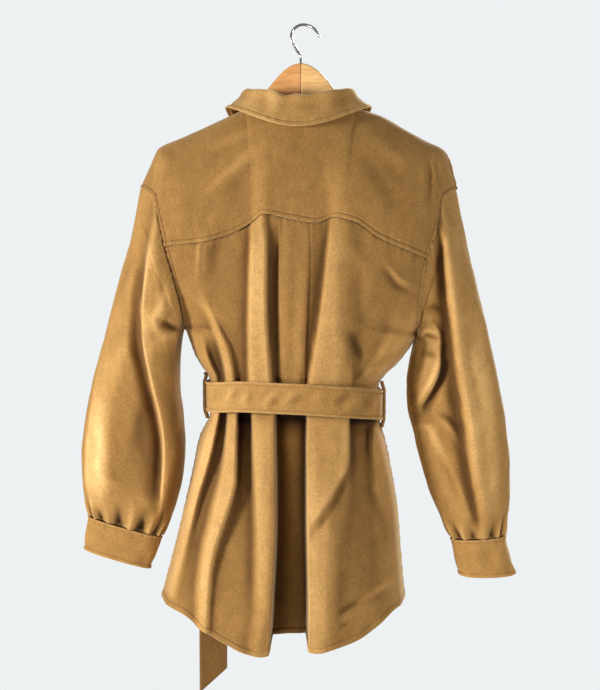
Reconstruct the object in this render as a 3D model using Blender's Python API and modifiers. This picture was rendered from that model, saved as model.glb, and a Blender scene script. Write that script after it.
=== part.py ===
"""A belted suede shirt jacket that hangs on a wooden hanger, seen from its back along +Y.

Metres, +Z up. The origin is the inner top of the hanger's hook, where a rod bears. The back of the
jacket faces -Y and the hanger lies in the plane Y = 0. Every cloth piece is a wall on a surface that
is worked out from the tables below, whose sizes are in millimetres.
"""
import math

import bmesh
import bpy
import numpy as np
from mathutils import Matrix, Vector

MM = 0.001

# ---- driving dimensions -------------------------------------------------------------------------

CLOTH = 1.6 * MM              # one layer of the suede
DOUBLE = 2.6 * MM             # two layers sewn together: collar, cuffs, belt, band
SEAM_GAP = 0.4 * MM           # between two pieces of one smooth surface
TURNED_GAP = 1.0 * MM         # between two pieces that meet at an angle
ARMHOLE_END_GAP = 1.6 * MM    # between yoke, front and back where they meet a sleeve's top or underarm
LAID_GAP = 0.5 * MM           # between a piece and the panel that it lies on

CENTRE_X = -3.5 * MM          # the hanger's stem and the middle of the neck
NECK_HALF_WIDTH = 80 * MM
NECK_BACK_DEPTH = 46 * MM
NECK_FRONT_DEPTH = 58 * MM
NECK_SIDE_Z = -123 * MM       # on the shoulder line
NECK_BACK_Z = -134 * MM
NECK_FRONT_Z = -204 * MM

NECK_SPREAD = DOUBLE / 2 + CLOTH + 0.5 * MM   # from the middle of the stand's wall to the panels' edge

STAND_FOOT = 1 * MM           # above the neck's seam
STAND_HEIGHT = 22 * MM
STAND_FRONT_RISE = 2 * MM     # the stand is this much taller at its front ends
STAND_CLOSE = 1.5 * MM        # its top stands this much closer to the neck than its foot
STAND_LEAN = -4 * MM          # the stand's top sits this far to the left of its foot
# The collar's roll over the stand: how far out from the stand's outer face, and how far above its top.
COLLAR_ROLL_ROWS = ((-3.6, 3.1), (-2.2, 5.3), (0.6, 6.5), (4.6, 4.8))
# How far the collar hangs below the stand's top, and how far its lower edge stands out: at the middle of
# the back, and what the side and the front ends add to that.
COLLAR_DROP = (50 * MM, -26 * MM, 28 * MM)
COLLAR_REACH = (17 * MM, 10 * MM, -12 * MM)
COLLAR_STAND_OFF = (6 * MM, 0 * MM, 6 * MM)   # from the stand's outer face to the collar, below the roll
COLLAR_LEVELS = (0.25, 0.5, 0.75, 1.0)        # parts of the way down to its lower edge
COLLAR_CURVE = 1.2
COLLAR_FRONT_ANGLE = 135      # degrees round the neck; the front's shape comes in over the next 40
COLLAR_FRONT_EASE = 40

CHEST_Z = -300 * MM           # from here down the fronts have their full depth
SECTION_CORNER = 2.4          # 2 is an ellipse, more is squarer
FRONT_LAP = 16 * MM           # each front passes the middle by this much
LAP_LIFT = 3.0 * MM           # the right front lies over the left one
LAP_REACH = 45 * MM           # as far as this from the middle, easing off over LAP_EASE
LAP_EASE = 20 * MM
BAND_WIDTH = 34 * MM
EDGE_STRIP = 2 * MM           # a narrow strip of faces along a seam keeps the wall's edge square to it

BELT_WIDTH = 46 * MM
BELT_LOOP_WIDTH = 9 * MM
BELT_LOOP_WALL = 3 * MM       # a strip folded in two
BAND_WALL = 1.6 * MM
BUTTON_RADIUS = 9 * MM
BUTTON_THICKNESS = 3 * MM
CUFF_BUTTON_RADIUS = 6.5 * MM

WIRE_RADIUS = 2.1 * MM
WOOD_THICKNESS = 13 * MM
WOOD_ROUNDING = 4 * MM
WOOD_BELOW_RIDGE = 6.3 * MM   # the arm's top under the outside of the shoulder line

# The torso's outline and depth at each height.
SECTION_COLUMNS = ("z", "left", "right", "back", "front")
SECTION_ROWS = (
    (-960, -240, 166, 110, 112),
    (-881, -222, 160, 108, 109),
    (-800, -201, 153, 103, 104),
    (-748, -188, 149, 99, 100),
    (-682, -173, 138, 92, 94),
    (-632, -162, 126, 86, 88),
    (-612, -152, 119.5, 80, 83),
    (-600, -146, 117.5, 77, 80),
    (-565, -145, 117, 76, 79),
    (-548, -145.5, 119, 77, 80),
    (-536, -148, 128, 80, 82),
    (-522, -158, 143, 84, 84),
    (-505, -168, 158, 87, 86),
    (-476, -179, 177, 88, 85),
    (-466, -183, 183, 88, 84),
    (-437, -204, 199, 87, 82),
    (-400, -229, 215, 84, 78),
    (-340, -252, 233, 78, 73),
    (-300, -264, 246, 72, 69),
    (-245, -276, 262, 56, 61),
    (-150, -285, 270, 40, 50),
)

# The shoulder line from the neck to the top of the armhole, over the hanger's tip.
RIDGE_COLUMNS = ("out", "left_z", "right_z")
RIDGE_ROWS = (
    (70, -121, -121),
    (90, -127, -127),
    (120, -140, -137),
    (160, -158, -159),
    (190, -171, -175),
    (215, -181, -187),
    (224, -187, -198),
    (232, -203, -219),
    (241, -225, -249),
    (251, -245, -280),
)

# The armhole seam from the shoulder line down to the underarm; depth is how far it stands off Y = 0.
ARMHOLE_COLUMNS = ("part", "left_x", "left_z", "right_x", "right_z", "depth")
ARMHOLE_ROWS = (
    (0.00, -251, -245, 237, -249, 0),
    (0.07, -240, -251, 225, -254, 16),
    (0.15, -227, -263, 212, -264, 29),
    (0.27, -220, -290, 203, -297, 42),
    (0.45, -209, -338, 188, -356, 50),
    (0.65, -195, -388, 181, -402, 53),
    (0.82, -186, -425, 176, -438, 46),
    (0.94, -183, -453, 175, -463, 25),
    (1.00, -184, -464, 177, -474, 0),
)
# Where the rows of the panels and the sleeves' points meet the armhole.
YOKE_PARTS = (0, 0.05, 0.10, 0.15, 0.20, 0.25, 0.30, 0.35, 0.40, 0.45)
BACK_PARTS = (0.45, 0.55, 0.65, 0.75, 0.85, 0.90, 0.95, 1.0)
FRONT_PARTS = (0, 0.05, 0.10, 0.15, 0.20, 0.25, 0.30, 0.40, 0.50, 0.60, 0.70, 0.80, 0.90, 0.95, 1.0)
# The rows below the underarm, as parts of the way down to the hem.
SIDE_PARTS = (0.05, 0.10, 0.15, 0.19, 0.24, 0.30, 0.355, 0.41, 0.52, 0.66, 0.83, 1.0)

# The wavy lower seam of the yoke.
YOKE_SEAM_COLUMNS = ("x", "z")
YOKE_SEAM_ROWS = (
    (-215, -336), (-154, -332), (-110, -321), (-80, -306), (-58, -291), (-20, -298),
    (18, -304), (46, -296), (75, -302), (112, -326), (150, -342), (195, -360),
)

# The shirt-tail hem of the back, across the garment.
BACK_HEM_COLUMNS = ("x", "z")
BACK_HEM_ROWS = (
    (-225, -884), (-186, -890), (-156, -907), (-112, -931), (-80, -944), (-58, -945),
    (-44, -940), (6, -938), (20, -940), (52, -935), (86, -924), (116, -905), (142, -889), (160, -885),
)
FRONT_HEM_COLUMNS = ("x", "z")
FRONT_HEM_ROWS = ((-225, -884), (-180, -888), (-120, -908), (-30, -920), (60, -908), (120, -888), (160, -884))

# The folds of the back. Each row is one fold: its place across the garment and its height above the
# smooth section (a trough where it is negative) at six levels, from the neck to the hem.
FOLD_LEVELS = (-950, -740, -565, -440, -300, -190)
# Its columns are name, half width, x at each level, height at each level.
BACK_FOLDS = (
    ("left lobe", 17, (-72, -62, -66, -72, -66, -75), (8, 10, 12, 11, 7, 3)),
    ("beside the pleat", 9, (-50, -47, -50, -51, -48, -48), (0, 0, -8, -8, -4, 0)),
    ("inner trough", 12, (-104, -92, -88, -98, -98, -98), (-3, -6, -12, -4, -1, 0)),
    ("second ridge", 9, (-156, -130, -107, -112, -112, -112), (5, 7, 9, 4, 1, 0)),
    ("second trough", 7, (-176, -144, -121, -124, -124, -124), (-2, -4, -10, -3, 0, 0)),
    ("side ridge", 8, (-192, -158, -134, -138, -140, -140), (1, 3, 6, 2, 0, 0)),
    ("right lobe", 16, (28, 22, 20, 27, 46, 43), (7, 10, 11, 9, 6, 3)),
    ("right trough", 11, (40, 58, 90, 94, 98, 98), (0, -5, -14, -5, -1, 0)),
    ("right ridge", 9, (124, 114, 108, 118, 126, 126), (3, 5, 7, 4, 0, 0)),
)
# The centre box pleat: its two edges, and how far its panel is set in.
PLEAT_COLUMNS = ("z", "left", "right", "set_in")
PLEAT_ROWS = (
    (-960, -51, 6, 86),
    (-880, -46, 6, 80),
    (-740, -40, 4, 58),
    (-640, -41, 4, 34),
    (-590, -42, 5, 20),
    (-545, -41, 5, 5),
    (-440, -38, 8, -1.5),
    (-290, -34, 11, -2),
)
PLEAT_EDGE = 3 * MM

FRONT_FOLDS = (
    ("left chest", 20, (-95, -92, -86, -98, -110, -118), (6, 7, 9, 5, 2, 0)),
    ("left trough", 12, (-62, -60, -58, -64, -70, -70), (-4, -6, -9, -4, 0, 0)),
    ("left side", 12, (-160, -140, -118, -135, -140, -140), (5, 5, 5, 2, 0, 0)),
    ("right chest", 20, (78, 70, 62, 78, 88, 96), (6, 7, 9, 5, 2, 0)),
    ("right trough", 12, (44, 38, 34, 42, 50, 50), (-4, -6, -9, -4, 0, 0)),
    ("right side", 11, (122, 112, 92, 120, 130, 130), (4, 5, 5, 2, 0, 0)),
)

# The sleeves: one row for each section, from the armhole to the cuff. The outer and inner ends of the
# section, its half depths to the back and the front.
SLEEVE_COLUMNS = ("out_x", "out_z", "in_x", "in_z", "back", "front")
LEFT_SLEEVE_ROWS = (
    (-251, -245, -184.5, -464, 44, 42),
    (-257, -280, -187, -470, 46, 44),
    (-266, -322, -189.5, -480, 47, 45),
    (-281, -372, -191, -496, 47, 46),
    (-297, -430, -192, -521, 46, 46),
    (-313, -492, -192, -556, 45, 46),
    (-329, -550, -187, -602, 43, 46),
    (-341, -610, -185, -646, 43, 46),
    (-347, -662, -188, -690, 42, 44),
    (-346, -706, -196, -729, 38, 40),
    (-341, -737, -208, -763, 29, 30),
    (-335, -757, -223, -789, 15, 15),
)
RIGHT_SLEEVE_ROWS = (
    (237, -249, 178.5, -474, 44, 42),
    (243, -286, 179, -482, 46, 44),
    (253, -330, 174.5, -497, 47, 46),
    (265, -378, 167, -518, 48, 47),
    (279, -435, 161.5, -548, 48, 48),
    (294, -498, 163, -584, 48, 50),
    (307, -558, 172, -624, 48, 50),
    (317, -617, 183, -668, 48, 50),
    (323, -675, 196, -712, 47, 49),
    (324, -722, 211, -749, 44, 46),
    (321, -757, 224, -776, 37, 38),
    (316, -786, 234, -791, 28, 28),
)
# A lengthwise fold of each sleeve's back: its place from the inner edge (0) to the outer (1), the
# rise of the part on its inner side and the trough on its outer side, along the sleeve.
SLEEVE_FOLD_COLUMNS = ("along", "place", "rise", "trough")
LEFT_SLEEVE_FOLD = (
    (0.00, 0.45, 0, 0), (0.20, 0.42, 5, -3), (0.45, 0.44, 9, -7), (0.70, 0.24, 9, -8), (0.88, 0.20, 5, -5),
    (1.00, 0.20, 0, 0),
)
RIGHT_SLEEVE_FOLD = (
    (0.00, 0.45, 0, 0), (0.20, 0.42, -5, 4), (0.45, 0.48, -10, 6), (0.70, 0.54, -12, 6), (0.88, 0.53, -7, 4),
    (1.00, 0.52, 0, 0),
)
GATHER_HEIGHT = 2.2 * MM      # each way, at the sleeve's end; every second point round it is a crest
GATHER_PLACE = 0.94           # of the way down the sleeve
GATHER_EASE = 0.07
FOLD_STEP = 0.09              # of the sleeve's width: half the run of the step beside the fold
FOLD_DIP_PLACE = 0.14         # from the step to the trough's bottom
FOLD_DIP_WIDTH = 0.10
ARMHOLE_STAY = 0.22           # of the way down, the sleeve still follows the armhole's own ring
SLEEVE_AWAY = (0.956, -0.293)  # out and down, the direction in which it stands off the armhole

# The cuffs: the top and the bottom of each, with half depths.
CUFF_COLUMNS = ("out_x", "out_z", "in_x", "in_z", "depth")
LEFT_CUFF_ROWS = ((-337, -758.5, -222, -791, 16.5), (-342, -785, -231, -817, 16), (-345, -811, -241, -842, 15))
RIGHT_CUFF_ROWS = ((317.5, -787.5, 232.5, -793, 29), (324, -816, 238, -821, 30), (335, -848, 246, -851, 31))

# The belt: heights of its middle line across the back, and where its outside runs at the sides.
BELT_LINE_COLUMNS = ("x", "z")
BELT_LINE_ROWS = ((-151, -568), (-90, -562), (-20, -564), (50, -569), (110, -577), (124, -582))
BELT_LEFT = -150.5 * MM
BELT_RIGHT = 123.5 * MM
BELT_BACK = 94 * MM
BELT_FRONT = 101 * MM
# A belt loop's outline: heights about the belt's middle line, and how far its outside stands off the
# belt's at each side. At its first and last rows it lies on the garment.
LOOP_COLUMNS = ("up", "left", "right")
LOOP_ROWS = (
    (36, 0, 0), (31, 2, 1), (23, 7, 4.5), (8, 9.5, 5), (-8, 9.5, 5), (-23, 7, 4.5), (-31, 2, 1), (-36, 0, 0),
)

# The ends of the belt hang over the front, off its smooth surface; the long one shows below the hem.
TAIL_COLUMNS = ("z", "x", "off", "half_width")
LONG_TAIL_ROWS = (
    (-614, -106, 21, 17), (-680, -116, 15, 21), (-780, -133, 12, 23), (-880, -146, 12, 23.5),
    (-980, -151, 12, 23.5), (-1052, -151, 11, 23.5), (-1088, -151, 10, 23.5),
)
SHORT_TAIL_ROWS = (
    (-614, -86, 27, 17), (-680, -80, 22, 21), (-780, -71, 18, 23), (-850, -67, 18, 23.5),
    (-885, -66, 18, 23.5),
)
TAIL_STEPS = 12
TAIL_SLANT = 34 * MM          # one corner of a belt end reaches this much lower
TAIL_WAVE = 1.5 * MM
KNOT_SIZE = (60 * MM, 20 * MM, 54 * MM)
KNOT_TURN = (2, -14, 24)      # degrees about X, Y and Z; the last lays it along the belt
KNOT_X = -97 * MM
KNOT_Z = -582 * MM
KNOT_PINCH = 0.82             # its lower side's width, as a share of its upper side's
KNOT_ROUNDING = 7 * MM

# The hanger: its outline above the arms, measured from the stem, and its underside.
DOME_COLUMNS = ("out", "z")
DOME_ROWS = ((0, -56), (12, -59), (24, -66), (40, -82), (54, -99), (70, -116), (84, -128))
WOOD_BOTTOM_ROWS = ((0, -112), (40, -120), (90, -150), (150, -178), (200, -199), (216, -206))
WOOD_TIP = 221 * MM
DOME_END = 78 * MM            # from the stem, where the dome runs out into the arms over DOME_EASE
DOME_EASE = 10 * MM

HOOK_LEFT_RADIUS = 18.5 * MM
HOOK_RIGHT_RADIUS = 26 * MM
HOOK_END_ANGLE = 14           # degrees above the horizontal
HOOK_BACK_ANGLE = 214         # where the wire leaves the round for the stem
STEM_LENGTH_IN_WOOD = 20 * MM

SHOULDER_ROLL = 8 * MM        # over the hanger's arm the cloth first falls by SHOULDER_DROP in this run
SHOULDER_DROP = 3 * MM
NECK_BACK_STEPS = 10          # faces along the neckline's back, shared by the yoke and the collar
NECK_FRONT_STEPS = 6          # faces along each side of its front, down to the button band
FRONT_RIDGE_POINTS = 7        # along a front's shoulder seam
NECK_END_ANGLE = 176          # degrees round from the middle of the back to the collar's ends

# ---- curves through the tables ------------------------------------------------------------------


def smooth(knots, values, at):
    """A monotone cubic through the knots (rising), held level outside them."""
    knots = np.asarray(knots, float)
    values = np.asarray(values, float)
    step = np.diff(knots)
    slope = np.diff(values) / step
    tangent = np.zeros(len(knots))
    tangent[0] = slope[0]
    tangent[-1] = slope[-1]
    for i in range(1, len(knots) - 1):
        if slope[i - 1] * slope[i] > 0:
            tangent[i] = 2 * slope[i - 1] * slope[i] / (slope[i - 1] + slope[i])
    at = np.clip(np.asarray(at, float), knots[0], knots[-1])
    k = np.clip(np.searchsorted(knots, at, side="right") - 1, 0, len(knots) - 2)
    t = (at - knots[k]) / step[k]
    start = (1 + 2 * t) * (1 - t) ** 2 * values[k] + t * (1 - t) ** 2 * step[k] * tangent[k]
    end = t * t * (3 - 2 * t) * values[k + 1] + t * t * (t - 1) * step[k] * tangent[k + 1]
    return start + end


def column(rows, columns, name):
    """One named column of a table, in metres."""
    return np.array([row[columns.index(name)] for row in rows], float) * MM


def lookup(rows, columns, name, at):
    """A table's named column, read smoothly at a value of its first column."""
    return smooth(column(rows, columns, columns[0]), column(rows, columns, name), at)


def soft_step(x):
    t = np.clip(x * 0.5 + 0.5, 0, 1)
    return t * t * (3 - 2 * t)


def arc(t, power):
    """Rises from 0, steeply, to 1, level: a quarter of a superellipse."""
    t = np.clip(t, 0, 1)
    return (1 - (1 - t) ** power) ** (1 / power)


# ---- the torso ----------------------------------------------------------------------------------


def outline(z):
    left = lookup(SECTION_ROWS, SECTION_COLUMNS, "left", z)
    right = lookup(SECTION_ROWS, SECTION_COLUMNS, "right", z)
    return left, right


def fold_height(folds, x, z):
    height = np.zeros(np.broadcast(x, z).shape)
    levels = np.array(FOLD_LEVELS) * MM
    for _, half_width, places, heights in folds:
        place = smooth(levels, np.array(places) * MM, z)
        rise = smooth(levels, np.array(heights) * MM, z)
        height = height + rise * np.exp(-((x - place) / (half_width * MM)) ** 2)
    return height


def pleat_edges(z):
    left = lookup(PLEAT_ROWS, PLEAT_COLUMNS, "left", z)
    right = lookup(PLEAT_ROWS, PLEAT_COLUMNS, "right", z)
    return left, right


def smooth_depth(side, x, z):
    """How far the torso without its folds stands off Y = 0, side being back or front; and the share
    of its full depth."""
    left, right = outline(z)
    across = np.clip((x - (left + right) / 2) / ((right - left) / 2), -1, 1)
    roundness = (1 - np.abs(across) ** SECTION_CORNER) ** (1 / SECTION_CORNER)
    return lookup(SECTION_ROWS, SECTION_COLUMNS, side, z) * roundness, roundness


def torso_depth(side, x, z):
    """How far the torso's outside stands off Y = 0, with its folds and the pleat."""
    depth, roundness = smooth_depth(side, x, z)
    fade = np.clip(roundness * 1.5, 0, 1)
    if side == "back":
        pleat_left, pleat_right = pleat_edges(z)
        inside = soft_step((x - pleat_left) / PLEAT_EDGE) * soft_step((pleat_right - x) / PLEAT_EDGE)
        set_in = lookup(PLEAT_ROWS, PLEAT_COLUMNS, "set_in", z)
        folds = fold_height(BACK_FOLDS, x, z) * (1 - inside)
        return depth + fade * folds - inside * set_in
    return depth + fade * fold_height(FRONT_FOLDS, x, z)


def ridge_z(x):
    out = np.abs(x)
    left = lookup(RIDGE_ROWS, RIDGE_COLUMNS, "left_z", out)
    right = lookup(RIDGE_ROWS, RIDGE_COLUMNS, "right_z", out)
    return np.where(x < 0, left, right)


def armhole(side, part, face):
    """A point of the armhole seam; side is left or right, face is -1 at the back and +1 in front."""
    parts = [row[0] for row in ARMHOLE_ROWS]
    x = smooth(parts, column(ARMHOLE_ROWS, ARMHOLE_COLUMNS, side + "_x"), part)
    z = smooth(parts, column(ARMHOLE_ROWS, ARMHOLE_COLUMNS, side + "_z"), part)
    depth = np.maximum(smooth(parts, column(ARMHOLE_ROWS, ARMHOLE_COLUMNS, "depth"), part), ARMHOLE_END_GAP / 2)
    return np.stack([x, face * depth, z], axis=-1)


def neck_ring(angle, spread=0.0):
    """A point of the neckline: angle 0 is the middle of the back, 90 degrees the right shoulder line."""
    back = np.cos(angle)
    depth = np.where(back > 0, NECK_BACK_DEPTH, NECK_FRONT_DEPTH)
    x = CENTRE_X + (NECK_HALF_WIDTH + spread) * np.sin(angle)
    y = -(depth + spread) * back
    drop = np.where(back > 0, NECK_BACK_Z, NECK_FRONT_Z) - NECK_SIDE_Z
    z = NECK_SIDE_Z + drop * np.abs(back) ** 1.6
    return np.stack([x, y, z], axis=-1)


def front_neck_angles():
    """Angles of the neckline's front, from the shoulder line past the middle to a front's edge."""
    reach = NECK_HALF_WIDTH + NECK_SPREAD
    band = math.pi - math.asin((BAND_WIDTH - FRONT_LAP) / reach)
    edge = math.pi + math.asin(FRONT_LAP / reach)
    return np.concatenate([np.linspace(math.pi / 2, band, NECK_FRONT_STEPS + 1), [(band + edge) / 2, edge]])


def yoke_seam_z(x):
    return lookup(YOKE_SEAM_ROWS, YOKE_SEAM_COLUMNS, "z", x)


def end_of_row(side, along, down, hem_z, face):
    """The end of a panel's row: on the armhole at a part along it, or, where down is more than 0, on
    the side seam at that part of the way from the underarm to the hem."""
    end = armhole(side, along, face)
    if down > 0:
        z = end[2] + (hem_z - end[2]) * down
        end = np.array([outline(z)[0 if side == "left" else 1], 0.0, z])
    return end


def beside_end(row, at_seam, face):
    """A point just in from a row's first point, so that the wall's edge is square to the seam."""
    if at_seam:
        return row[0] + np.array([0.0, face * EDGE_STRIP, 0.0])
    return row[0] + (row[1] - row[0]) * min(0.3, EDGE_STRIP / np.linalg.norm(row[1] - row[0]))


def with_edge(rows, seam_from, face):
    """The grid with a narrow strip of faces along its first column."""
    strips = [beside_end(row, i >= seam_from, face) for i, row in enumerate(rows)]
    return np.concatenate([rows[:, :1], np.array(strips)[:, None], rows[:, 1:]], axis=1)


def normals(points):
    """Outward unit normals of a grid whose rows run down and columns anticlockwise from above."""
    down = np.gradient(points, axis=0)
    across = np.gradient(points, axis=1)
    normal = np.cross(down, across)
    return normal / np.linalg.norm(normal, axis=2)[:, :, None]


# ---- meshes -------------------------------------------------------------------------------------

jacket = None                 # the collection of parts, made below
cutters = None


def material(name, colour, roughness, metallic=0.0):
    made = bpy.data.materials.new(name)
    made.use_nodes = True
    shader = made.node_tree.nodes["Principled BSDF"]
    shader.inputs["Base Color"].default_value = (*colour, 1)
    shader.inputs["Roughness"].default_value = roughness
    shader.inputs["Metallic"].default_value = metallic
    return made


def add_object(name, mesh, finish, collection=None):
    made = bpy.data.objects.new(name, mesh)
    (collection or jacket).objects.link(made)
    if finish:
        mesh.materials.append(finish)
    return made


def grid_mesh(name, points, round_columns=False):
    """A surface through a grid of points whose rows run down and whose columns run anticlockwise
    from above, so that its faces point outwards."""
    rows, columns = points.shape[:2]
    mesh = bmesh.new()
    verts = [[mesh.verts.new(Vector(points[i, j])) for j in range(columns)] for i in range(rows)]
    for i in range(rows - 1):
        for j in range(columns if round_columns else columns - 1):
            beside = (j + 1) % columns
            mesh.faces.new((verts[i][j], verts[i + 1][j], verts[i + 1][beside], verts[i][beside]))
    data = bpy.data.meshes.new(name)
    mesh.to_mesh(data)
    mesh.free()
    data.shade_smooth()
    return data


def cloth(name, points, wall, finish, round_columns=False):
    """A wall of cloth inside a surface of points."""
    made = add_object(name, grid_mesh(name, points, round_columns), finish)
    solid = made.modifiers.new("wall", "SOLIDIFY")
    solid.thickness = wall
    solid.offset = -1
    solid.use_even_offset = False
    return made


def band(name, sections, finish):
    """A solid strip: sections is an array of closed outlines, one after another along the strip."""
    mesh = bmesh.new()
    loops = [[mesh.verts.new(Vector(point)) for point in section] for section in sections]
    count = len(loops[0])
    for here, there in zip(loops, loops[1:]):
        for j in range(count):
            k = (j + 1) % count
            mesh.faces.new((here[j], here[k], there[k], there[j]))
    mesh.faces.new(list(reversed(loops[0])))
    mesh.faces.new(loops[-1])
    bmesh.ops.recalc_face_normals(mesh, faces=mesh.faces)
    data = bpy.data.meshes.new(name)
    mesh.to_mesh(data)
    mesh.free()
    data.shade_smooth()
    data.set_sharp_from_angle(angle=math.radians(40))
    return add_object(name, data, finish)


# ---- yoke, back and fronts ----------------------------------------------------------------------

MIDDLE_HEM_Z = -938 * MM      # of the back's hem at the pleat


def back_columns(left_end, right_end, z):
    """Places across the back at one height, close together at the side seams and the pleat's edges."""
    pleat_left, pleat_right = pleat_edges(z)
    turn = np.linspace(0, 1, 13)[:-1]
    left = left_end + (pleat_left - 2 * PLEAT_EDGE - left_end) * (0.35 * turn + 0.65 * turn ** 2)
    right = right_end + (pleat_right + 2 * PLEAT_EDGE - right_end) * (0.35 * turn + 0.65 * turn ** 2)
    edges = [pleat_left - 2 * PLEAT_EDGE, pleat_left - PLEAT_EDGE, pleat_left + PLEAT_EDGE]
    middle = np.linspace(pleat_left + PLEAT_EDGE, pleat_right - PLEAT_EDGE, 5)[1:-1]
    far_edges = [pleat_right - PLEAT_EDGE, pleat_right + PLEAT_EDGE, pleat_right + 2 * PLEAT_EDGE]
    return np.concatenate([left, edges, middle, far_edges, right[::-1]])


def back_points():
    """The back below the yoke, from armhole to armhole and from side seam to side seam."""
    hem_left = BACK_HEM_ROWS[0][1] * MM
    hem_right = BACK_HEM_ROWS[-1][1] * MM
    top_z = yoke_seam_z(CENTRE_X)
    seam_x = back_columns(armhole("left", YOKE_PARTS[-1], -1)[0], armhole("right", YOKE_PARTS[-1], -1)[0], top_z)
    hem_x = back_columns(outline(hem_left)[0], outline(hem_right)[1], MIDDLE_HEM_Z)
    top = yoke_seam_z(seam_x) - SEAM_GAP / 2
    bottom = lookup(BACK_HEM_ROWS, BACK_HEM_COLUMNS, "z", hem_x)
    share = np.linspace(0, 1, len(seam_x))
    steps = [(along, 0.0) for along in BACK_PARTS] + [(1.0, down) for down in SIDE_PARTS]
    seam_end = armhole("left", YOKE_PARTS[-1], -1)[2]
    underarm = (armhole("left", 1.0, -1)[2] - seam_end) / (hem_left - seam_end)
    rows = []
    for along, down in steps:
        left = end_of_row("left", along, down, hem_left, -1)
        right = end_of_row("right", along, down, hem_right, -1)
        part = underarm * (along - YOKE_PARTS[-1]) / (1 - YOKE_PARTS[-1])
        if down > 0:
            part = underarm + (1 - underarm) * down
        x = back_columns(left[0], right[0], top_z + part * (MIDDLE_HEM_Z - top_z))
        z = top + part * (bottom - top)
        z = z + (left[2] - z[0]) * (1 - share) ** 4 + (right[2] - z[-1]) * share ** 4
        y = -torso_depth("back", x, z)
        if down == 0:
            y = y + (left[1] - y[0]) * (1 - share) ** 8 + (right[1] - y[-1]) * share ** 8
        rows.append(np.stack([x, np.minimum(y, -SEAM_GAP / 2), z], axis=-1))
    rows = np.array(rows)
    rows[0, :, 2] = np.minimum(rows[0, :, 2], yoke_seam_z(rows[0, :, 0]) - SEAM_GAP / 2)
    rows = with_edge(rows, len(BACK_PARTS) - 1, -1)
    return with_edge(rows[:, ::-1], len(BACK_PARTS) - 1, -1)[:, ::-1]


def shoulder_rows(rows, ridge, face):
    """Puts two rows after the first: a level strip at the shoulder seam, and the roll over the hanger."""
    level = rows[0] * 0.9 + rows[1] * 0.1
    roll = rows[0] * 0.6 + rows[1] * 0.4
    weight = ridge[:, None]
    flat = rows[0] + np.array([0.0, face * EDGE_STRIP, 0.0])
    over = rows[0] + np.array([0.0, face * SHOULDER_ROLL, -SHOULDER_DROP])
    return [rows[0], level * (1 - weight) + flat * weight, roll * (1 - weight) + over * weight] + list(rows[1:])


def yoke_points(back_top):
    """The yoke, from the shoulder line and the neck down to its seam over the back's top edge."""
    count = len(back_top)
    share = (back_top[:, 0] - back_top[0, 0]) / (back_top[-1, 0] - back_top[0, 0])
    top_left = armhole("left", 0.0, -1)
    top_right = armhole("right", 0.0, -1)
    straight = top_left[0] + share * (top_right[0] - top_left[0])
    spread = NECK_SPREAD
    neck_left = CENTRE_X - NECK_HALF_WIDTH - spread
    neck_right = CENTRE_X + NECK_HALF_WIDTH + spread
    first = (count - 1 - NECK_BACK_STEPS) // 2
    last = first + NECK_BACK_STEPS
    top = np.zeros((count, 3))
    scale_left = (neck_left - straight[0]) / (straight[first] - straight[0])
    top[:first + 1, 0] = straight[0] + (straight[:first + 1] - straight[0]) * scale_left
    scale_right = (straight[-1] - neck_right) / (straight[-1] - straight[last])
    top[last:, 0] = straight[-1] - (straight[-1] - straight[last:]) * scale_right
    top[:, 2] = ridge_z(top[:, 0])
    top[:, 1] = -SEAM_GAP / 2
    ring = neck_ring(np.linspace(-math.pi / 2, math.pi / 2, NECK_BACK_STEPS + 1), spread)
    top[first + 1:last] = ring[1:-1]
    top[0] = top_left
    top[-1] = top_right
    bottom = back_top.copy()
    bottom[:, 2] += SEAM_GAP
    near_neck = np.exp(-((np.abs(top[:, 0] - CENTRE_X) - NECK_HALF_WIDTH) / (45 * MM)) ** 2)
    power = 1.6 + 0.3 * near_neck
    ridge = np.ones(count)
    ridge[first + 1:last] = 0
    ridge[0] = ridge[-1] = 0
    rows = []
    for along in YOKE_PARTS:
        part = (along / YOKE_PARTS[-1]) ** 1.5
        row = top + part * (bottom - top)
        row[:, 1] = top[:, 1] + (bottom[:, 1] - top[:, 1]) * arc(part, power)
        left = armhole("left", along, -1) if part < 1 else bottom[0]
        right = armhole("right", along, -1) if part < 1 else bottom[-1]
        row = row + np.outer((1 - share) ** 8, left - row[0]) + np.outer(share ** 8, right - row[-1])
        row[:, 1] = np.minimum(row[:, 1], -SEAM_GAP / 2)
        rows.append(row)
    return np.array(shoulder_rows(rows, ridge, -1))


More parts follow.
